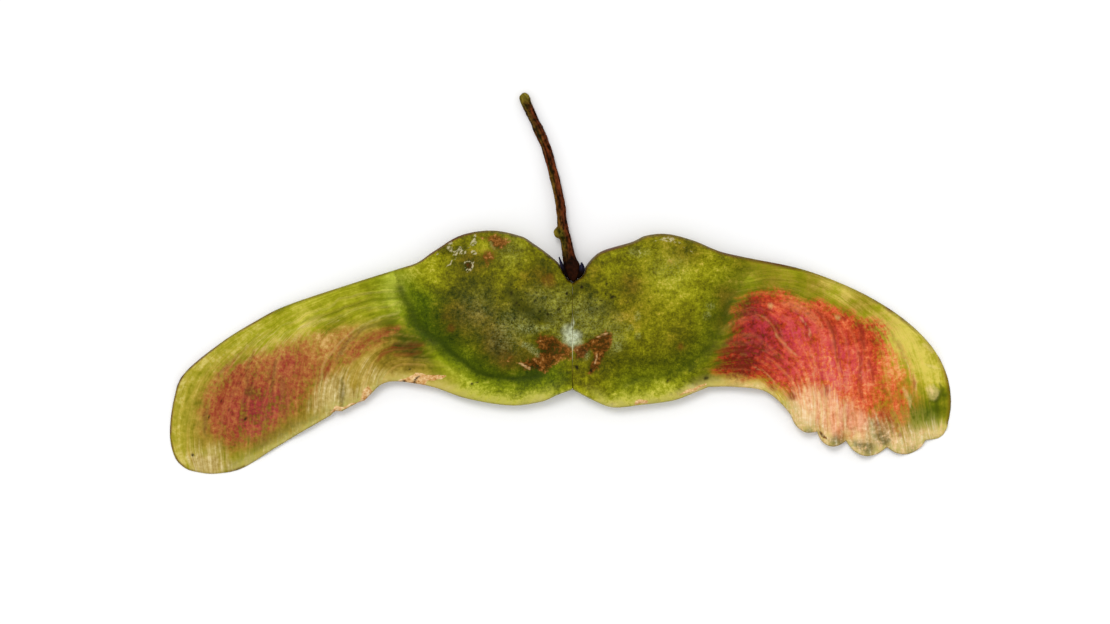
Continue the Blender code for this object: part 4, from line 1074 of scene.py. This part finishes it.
def skin_noises(paint):
    """The noises that a samara's layers share: in place on the plan, or in the grain of the veins."""
    place, grain = paint.vector("place"), paint.vector("grain")
    return SimpleNamespace(
        place=place,
        broad=paint.noise(place, (0.25, 0.25, 0)),
        patchy=paint.noise(place, (0.9, 0.9, 0), 3, 0.6),
        speckled=paint.noise(place, (3.2, 3.2, 0), 3, 0.65),
        fine=paint.noise(place, (7.0, 7.0, 0), 2, 0.6),
        berries=paint.noise(place, (2.3, 2.3, 0), 2, 0.6),
        streaked=paint.noise(grain, (1.5, 0.12, 0), 2, 0.6),
        fibrous=paint.noise(grain, (4.5, 0.45, 0), 2, 0.6),
        cells=paint.noise(grain, (3.2, 1.7, 0), 2, 0.6),
    )


def ground_colour(paint, samara, noise, wing, skin):
    """Mottled greens and browns, and tan on the wing inside its leading band."""
    mottle = (
        noise.broad * 0.4
        + noise.patchy * (0.5 + skin * 0.5)
        + noise.speckled * (0.25 + skin * 0.6)
        + noise.fine * skin * 0.5
        + noise.streaked * wing * 0.38
        + noise.fibrous * wing * 0.20
    )
    # The glow mask carries painted shade and painted light as well as the ground's own tone.
    level = paint.mask("glow") + mottle
    colour = paint.mix(paint.mask("lush"), paint.ramp(level, GREENS), paint.ramp(level, LUSH_GREENS))
    brown = paint.step(paint.mask("brown") + noise.patchy + noise.speckled * 0.6, 0.15, 0.75)
    colour = paint.mix(brown * 0.8, colour, paint.ramp(level, BROWNS))
    red = paint.mask("red")
    warmth = paint.step(paint.mask("inner") + red * 0.3 + mottle * 1.2, 0.15, 0.95)
    tans = paint.ramp(level + 0.05 + red * 0.14 + noise.berries * 0.6, samara.tans)
    return paint.mix(warmth * 0.92, colour, tans)


def add_flush(paint, samara, noise, colour):
    """Cream streaks, the greenish margin, and the red flush, which is weaker where the wing is pale."""
    pale = paint.mask("pale")
    cream = paint.step(pale + noise.streaked * 1.3 + noise.fibrous, 0.1, 1.0) * paint.step(pale, 0.0, 0.3)
    cream_level = 0.6 + noise.fibrous * 1.3 + noise.berries * 0.9 + noise.patchy * 0.6
    colour = paint.mix(cream, colour, paint.ramp(cream_level, samara.creams))
    greenish = paint.broken("margin", noise.patchy + noise.speckled + noise.cells, -0.4, 0.25)
    colour = paint.mix(greenish * 0.8, colour, GREENISH)

    red = paint.mask("red")
    uneven = noise.patchy * 1.3 + noise.speckled * 1.4 + noise.streaked * (0.9 + pale * 2.4)
    flush = paint.step(red + uneven + noise.cells, -0.2, 0.8) * paint.step(red, 0.0, 0.4)
    flush = flush * (1.0 - cream * 0.5)
    shift = noise.berries + noise.fine * 0.5 + noise.streaked * 0.7 + noise.patchy
    reds = paint.ramp(paint.mask("tone") + shift, samara.reds)
    pinkish = paint.broken("magenta", noise.cells + noise.speckled + noise.patchy, -0.25, 0.2)
    return paint.mix(flush, colour, paint.mix(pinkish * 0.8, reds, PINK))


def add_fine_marks(paint, noise, colour):
    """Veins, their reddish sides, dark and light strokes (some of them painted shade and a painted
    highlight), and the crease's painted shade.
    """
    for name, gaps, low, high, strength, tint in [
        ("vein", noise.streaked + noise.cells, -0.35, 0.15, 0.36, (222, 172, 92)),
        ("ember", noise.cells + noise.fibrous, -0.4, 0.1, 0.7, (132, 36, 22)),
        ("dark", noise.patchy + noise.speckled, -0.45, 0.2, 0.75, (56, 58, 8)),
        ("light", noise.cells + noise.speckled, -0.4, 0.1, 0.5, (232, 206, 130)),
    ]:
        colour = paint.mix(paint.broken(name, gaps, low, high) * strength, colour, linear(*tint))
    # Painted shade: the crease's dark line and soft shade.
    return paint.mix(paint.mask("crease") * (0.95 + noise.patchy), colour, CREASE_SHADE)


def add_powder(paint, noise, colour):
    """White powder by the seam, thin with a fine net or thick as frost, and dark pits."""
    net = paint.threads(noise.place, (3.4, 3.4, 0), 0.06)
    powder = paint.step(noise.patchy + noise.speckled * 1.5, -0.2, 0.4)
    colour = paint.mix(paint.mask("bloom") * (net * 0.6 + powder * 0.6), colour, POWDER)
    frost = paint.mask("frost") * (0.85 + noise.speckled * 2.6 + noise.patchy)
    colour = paint.mix(frost, colour, FROST)
    pits = paint.step(paint.noise(noise.place, (2.3, 2.3, 0), 1), 0.12, 0.2)
    return paint.mix(pits * paint.mask("speck") * 0.75, colour, PIT)


def add_rust(paint, noise, colour):
    """Rust patches, tan flakes, crusts, the brown rim and the darkest dots."""
    patchy, speckled, mask = noise.patchy, noise.speckled, paint.mask("rust")
    share = paint.step(mask + patchy * 2.2 + speckled * 1.6, 0.2, 1.0) * paint.step(mask, 0.02, 0.25)
    level = 0.42 + noise.broad * 0.8 + patchy * 2.0 + speckled * 2.0
    colour = paint.mix(share * 0.95, colour, paint.ramp(level, RUSTS))
    share = paint.step(paint.mask("tan") + patchy * 0.6, 0.35, 0.7)
    colour = paint.mix(share, colour, paint.ramp(0.6 + speckled * 1.6 + patchy, TAN_FLAKES))
    mask = paint.mask("crust")
    share = paint.step(mask + speckled * 2.4 + patchy, 0.5, 0.95) * paint.step(mask, 0.02, 0.25)
    colour = paint.mix(share * 0.75, colour, CRUST)
    colour = paint.mix(paint.broken("rim", patchy + noise.broad, -0.45, 0.15), colour, RIM_BROWN)
    return paint.mix(paint.mask("dots"), colour, SPOT)


def samara_material(samara):
    """Skin and wing: mottled greens, the red flush broken up by the veins, and the marks on them."""
    paint = Paint(samara.name)
    noise, wing = skin_noises(paint), paint.mask("wing")
    skin = 1.0 - wing
    colour = ground_colour(paint, samara, noise, wing, skin)
    colour = add_flush(paint, samara, noise, colour)
    colour = add_fine_marks(paint, noise, colour)
    colour = add_powder(paint, noise, colour)
    colour = add_rust(paint, noise, colour)
    roughness = 0.55 + noise.patchy * 0.3 + skin * -0.08
    relief = noise.speckled * skin + noise.fibrous * wing + noise.cells * wing * 0.6
    return paint.finish(colour, roughness, 0.05, relief)


def wood_material(name, dark, light, scale):
    """Bark or dry scale, with streaks lengthwise."""
    paint = Paint(name)
    grain = paint.vector("grain")
    streaks = paint.noise(grain, (scale, 0.5, 0), 3, 0.6)
    flecks = paint.noise(grain, (2 * scale, 2.4, 0), 2, 0.6)
    shade = 0.14 + streaks * 2.4 + flecks * 1.6 + paint.mask("light")
    colour = paint.ramp(shade, [(0, dark), (1, light)])
    colour = paint.mix(paint.mask("green"), colour, paint.ramp(shade, MOSSY))
    colour = paint.mix(paint.mask("foot"), colour, WOOD_FOOT)
    return paint.finish(colour, 0.7, 0.03, streaks + flecks)


# Pieces.


def bottom_of(samara, plan, across, out, swell):
    """The height of the solid's underside, which the skin rests on."""
    half = solid_half(plan, across, out, swell)
    return np.maximum(solid_middle(samara, half, across, out) - half, 0)


def skin_half(at, across, swell):
    """Half the thickness of the shown skin, rounded off to all its edges."""
    shoulder = SHOULDER_RISE * (1 - smooth_step(0.5, 4.0, at.x))
    rib = rib_at(across, at.out, RIB_RISE, RIB_PEAK)
    half = BLADE_HALF + SKIN_EXTRA * (1 - at.wing) + NUTLET_RISE * swell + shoulder + rib
    rounding = np.clip(at.edge / ROUNDED_EDGE, 0, 1)
    half = half * np.sqrt(np.clip(1 - (1 - rounding) ** 2, 0.02, 1))
    return half * (1 - 0.04 * np.exp(-((at.x / 0.3) ** 2)))


def sheet_lift(samara, at, across, flange):
    """How far folds, curls, the crease and the flange lift the whole sheet."""
    folds = FOLD_RISE * clouds(at.number * 1.3, at.reach * 0.07, samara.seed + 9, 2) * at.wing
    curl = EDGE_CURL * cloud(at.out * 22, at.out * 0, samara.seed + 10)
    curl = curl * smooth_step(1.6, 0, at.edge) * smooth_step(0.6, 0.9, across)
    dip = CREASE_DEPTH * np.exp(-((at.fold / np.where(at.fold < 0, 1.4, 0.7)) ** 2))
    dip = dip * smooth_step(1.0, 4.0, at.x)
    raised = FLANGE_RISE * flange + RIGHT_TIP_BUMP(at.plan) * (samara.side > 0)
    return (folds + curl - dip + raised) * smooth_step(0, 0.5, at.edge)


def skin_relief(samara, at, masks):
    """Fine relief of the upper side: grain, veins, and the marks that stand out or lie deeper."""
    x, y, seed = at.x, at.y, samara.seed
    relief = 0.05 * clouds(x * 0.7, y * 0.7, seed + 11)
    relief = relief + 0.035 * clouds(x * 2.6, y * 2.6, seed + 12, 2) * (1 - at.wing)
    relief = relief + 0.015 * clouds(at.number * 6, at.reach * 0.5, seed + 13, 2) * at.wing
    for name, rise in MARK_RISES.items():
        relief = relief + rise * np.clip(masks[name], 0, 1)
    return relief


def add_samara(samara):
    column = evenly_closer(COLUMNS, 0.5)[:, None]
    across = evenly_closer(ROWS, 0.8)[None]
    plan, out = plan_of(samara, column, across)
    across = np.broadcast_to(across, out.shape)
    at = survey(samara, plan, out)
    masks = marks_of(samara, at)

    swell = np.clip(cushion(plan), 0, 1) ** SWELL_POWER
    bottom = bottom_of(samara, plan, across, out, swell)
    lift = np.maximum(sheet_lift(samara, at, across, masks["flange"]), -bottom)
    relief = skin_relief(samara, at, masks) * smooth_step(0, 0.4, at.edge)
    top = bottom + lift + 2 * skin_half(at, across, swell) + relief
    low = np.maximum(bottom + np.clip(2 * at.wing, 0, 1) * lift, 0)
    low = np.minimum(low + 0.05 * (1 - smooth_step(0, 0.3, at.edge)), top - THINNEST)

    outwards = samara.side * at.x
    sheets = [np.stack([outwards, at.y, height], -1).reshape(-1, 3) for height in (top, low)]
    faces = faces_of(COLUMNS, ROWS, flip=samara.side > 0)
    points, name, material = np.concatenate(sheets), samara.name, samara_material(samara)
    piece = add_piece(name + "_skin", points, faces, name, material)

    def both(values):
        return np.concatenate([values.reshape(-1), values.reshape(-1)])

    for mask, values in masks.items():
        store(piece, mask, both(np.clip(values, 0, 1)))
    layers = np.repeat([0.0, UNDERSIDE_SHIFT], out.size)
    veins = at.number * VEIN_SPACING + NOISE_SHIFT
    store(piece, "place", np.stack([both(outwards), both(at.y) + NOISE_SHIFT, layers], -1))
    store(piece, "grain", np.stack([both(veins), both(at.reach), layers], -1))


# Stations from the free end to the seam: x, y, height and radius, in millimetres.
STALK = [
    (-5.00, 18.46, 0.50, 0.10),
    (-4.92, 18.30, 0.50, 0.38),
    (-4.74, 17.80, 0.50, 0.48),
    (-4.38, 16.90, 0.50, 0.47),
    (-3.42, 14.90, 0.52, 0.46),
    (-2.54, 12.85, 0.58, 0.45),
    (-1.83, 10.05, 0.70, 0.45),
    (-1.27, 7.45, 0.88, 0.46),
    (-1.00, 5.40, 1.04, 0.50),
    (-0.62, 3.75, 1.20, 0.55),
    (-0.30, 1.95, 1.36, 0.64),
    (-0.05, 1.00, 1.52, 0.82),
    (0.02, 0.45, 1.64, 0.76),
    (0.01, -0.05, 1.76, 0.52),
    (0.00, -0.36, 1.84, 0.22),
]

# The bud scar, as a share of the stalk's length from its free end.
SCAR_PLACE = 0.735

# Stations: x, y, height and radius, in millimetres.
SEPALS = {
    "sepal_left": [
        (-0.35, -0.05, 1.96, 0.12), (-0.74, 0.48, 2.10, 0.17),
        (-1.08, 1.25, 2.14, 0.16), (-1.34, 2.05, 2.10, 0.06),
    ],
    "sepal_right": [
        (0.48, -0.02, 1.96, 0.16), (0.86, 0.45, 2.10, 0.25),
        (0.95, 0.95, 2.14, 0.27), (0.90, 1.50, 2.10, 0.08),
    ],
}


def rolled(points):
    """Faces of a closed tube from its rings of points."""
    rings, sides = points.shape[:2]
    index = np.arange(rings * sides).reshape(rings, sides)
    following = np.roll(index, -1, axis=1)
    quads = np.stack([index[:-1], following[:-1], following[1:], index[1:]], -1).reshape(-1, 4)
    return quads.tolist() + [index[0][::-1].tolist(), index[-1].tolist()]


def add_tube(name, node, stations, rings, sides, swell_at, material, masks_at):
    """A closed tube along a smooth line; swell_at(along, around) adds to its radius."""
    path = point_along(smooth_path(stations), np.linspace(0, 1, rings))
    middle, radius = path[:, :3], path[:, 3]
    ahead = np.gradient(middle, axis=0)
    ahead /= np.linalg.norm(ahead, axis=1)[:, None]
    across = np.cross(ahead, [0, 0, 1.0])
    across /= np.linalg.norm(across, axis=1)[:, None]
    up = np.cross(across, ahead)
    around = np.linspace(0, 2 * np.pi, sides, endpoint=False)[None] + np.zeros((rings, 1))
    along = np.linspace(0, 1, rings)[:, None] + np.zeros((1, sides))
    ring = across[:, None] * np.cos(around)[..., None] + up[:, None] * np.sin(around)[..., None]
    points = middle[:, None] + ring * (radius[:, None] + swell_at(along, around))[..., None]
    piece = add_piece(name, points.reshape(-1, 3), rolled(points), node, material)
    length = np.linalg.norm(np.diff(middle, axis=0), axis=1).sum()
    store(piece, "grain", np.stack([around.ravel(), along.ravel() * length + 20, np.zeros(along.size)], -1))
    for mask, values in masks_at(along, around).items():
        store(piece, mask, np.clip(values, 0, 1).ravel())


def add_stalk():
    def swell_at(along, around):
        knots = 0.06 * clouds(along * 24, along * 3, 40)
        furrows = 0.035 * np.sin(5 * around + 9 * along) + 0.03 * np.sin(3 * around - 14 * along)
        rough = 0.04 * clouds(along * 70, around * 2.2, 41)
        scar = 0.50 * np.exp(-(((along - SCAR_PLACE) / 0.026) ** 4)) * np.clip(np.cos(around), 0, 1) ** 2
        return (knots + furrows + rough + scar) * smooth_step(0, 0.03, along)

    def masks_at(along, around):
        left = np.clip(0.3 + np.cos(around), 0, 1)
        patches = smooth_step(-0.1, 0.4, clouds(along * 9, around * 0.8, 43))
        scar = np.exp(-(((along - SCAR_PLACE) / 0.02) ** 2)) * left
        flecked = 0.24 * smooth_step(0, 0.5, clouds(along * 14, around * 0.6, 44))
        tip, low = smooth_step(0.10, 0.03, along), 0.4 * smooth_step(0.5, 0.7, along)
        return {
            "light": flecked + 0.2 * scar + 0.4 * tip + 0.14 * smooth_step(0.25, 0.45, along),
            "green": tip + (0.7 * patches + low + scar) * left * smooth_step(0.92, 0.8, along),
            "foot": smooth_step(0.78, 0.92, along) * 0.88,
        }

    material = wood_material("stalk", (20, 7, 0), (130, 62, 28), 1.1)
    add_tube("stalk_bark", "stalk", STALK, 320, 36, swell_at, material, masks_at)


def add_sepals():
    def swell_at(along, around):
        return 0.03 * clouds(along * 8, around, 50) * np.sin(np.pi * along)

    def masks_at(along, around):
        return {"light": 0.35 + 0 * along, "green": 0 * along, "foot": smooth_step(0.75, 0.35, along)}

    material = wood_material("sepal", (4, 3, 8), (44, 42, 66), 2.0)
    for name, stations in SEPALS.items():
        add_tube(name + "_scale", name, stations, 40, 20, swell_at, material, masks_at)


def add_column():
    """The pale strand in the seam: a thin upright web between the samaras, showing only in places."""
    y = np.linspace(SEAM_START - 0.15, SEAM_FOOT + 0.15, 120)
    plan = np.stack([np.full_like(y, 0.2), y], -1)
    across = (y - SEAM_START) / (SEAM_FOOT - SEAM_START)
    swell = np.clip(cushion(plan), 0, 1) ** SWELL_POWER
    half = SOLID_BLADE_HALF + NUTLET_RISE * swell + SHOULDER_RISE * smooth_step(0, 0.12, 1 - across)
    bottom = np.maximum(NUTLET_LEVEL, half - REST_CUT) - half
    skin = bottom + 2 * 0.9 * (BLADE_HALF + SKIN_EXTRA + NUTLET_RISE * swell + SHOULDER_RISE)
    shows = smooth_step(-1.2, -2.0, y) * (0.6 + 0.4 * smooth_step(-5.0, -6.0, y))
    top = skin - 0.04 + 0.08 * shows * (0.7 + 0.3 * cloud(y * 1.1, y * 0, 61))
    width = 0.05 + 0.05 * shows + 0.02 * clouds(y * 1.3, y * 0, 60)
    profile = [(-1, 0.95), (-0.6, 1), (0.6, 1), (1, 0.95), (1, 0.05), (0.6, 0), (-0.6, 0), (-1, 0.05)]
    low = bottom + 0.1
    points = np.stack([np.stack([sx * width, y, low + (top - low) * sz], -1) for sx, sz in profile], 1)
    material = wood_material("column", (120, 116, 60), (222, 222, 184), 1.5)
    piece = add_piece("column_strand", points.reshape(-1, 3), rolled(points), "column", material)
    y = points[..., 1].ravel()
    store(piece, "grain", points.reshape(-1, 3) + 30)
    store(piece, "light", 0.4 + 0.1 * np.exp(-(((y + 7.0) / 1.4) ** 2)))
    pale = 0.9 * np.exp(-(((y + 6.8) / 1.5) ** 4))
    pale = pale + 0.7 * smooth_step(0, 0.4, cloud(y * 1.6, y * 0, 62)) * (y > -5)
    store(piece, "green", np.clip(1 - pale, 0, 1))
    store(piece, "foot", smooth_step(-10.8, -11.1, y) * 0.8)


# Studio.


def add_floor():
    mesh = bpy.data.meshes.new("floor")
    mesh.from_pydata([(-2, -2, 0), (2, -2, 0), (2, 2, 0), (-2, 2, 0)], [], [(0, 1, 2, 3)])
    floor = bpy.data.objects.new("floor", mesh)
    bpy.context.scene.collection.objects.link(floor)
    paint = Paint("floor")
    faint = paint.noise(paint.node("TexCoord", {}, {}, "Object"), (30, 30, 0))
    mesh.materials.append(paint.finish(paint.ramp(0.5 + faint, FLOOR_WHITES), 0.9, 0.0))


def add_studio():
    world = bpy.data.worlds.new("studio")
    bpy.context.scene.world = world
    world.use_nodes = True
    background = world.node_tree.nodes["Background"]
    background.inputs["Color"].default_value = (1, 1, 1, 1)
    background.inputs["Strength"].default_value = 0.80
    data = bpy.data.lights.new("key", "SUN")
    data.energy = 1.0
    data.angle = math.radians(24)
    key = bpy.data.objects.new("key", data)
    bpy.context.scene.collection.objects.link(key)
    key.location = (-0.2, 0.45, 0.9)
    key.rotation_euler = (-key.location).to_track_quat("-Z", "Y").to_euler()
    bpy.context.scene.view_settings.view_transform = "Standard"
    add_floor()


def add_camera():
    data = bpy.data.cameras.new("camera")
    data.lens = 150
    data.sensor_width = 36
    data.clip_end = 10
    camera = bpy.data.objects.new("camera", data)
    bpy.context.scene.collection.objects.link(camera)
    camera.location = [value * MM for value in CAMERA_PLACE]
    bpy.context.scene.camera = camera


add_samara(LEFT)
add_samara(RIGHT)
add_stalk()
add_sepals()
add_column()
add_studio()
add_camera()
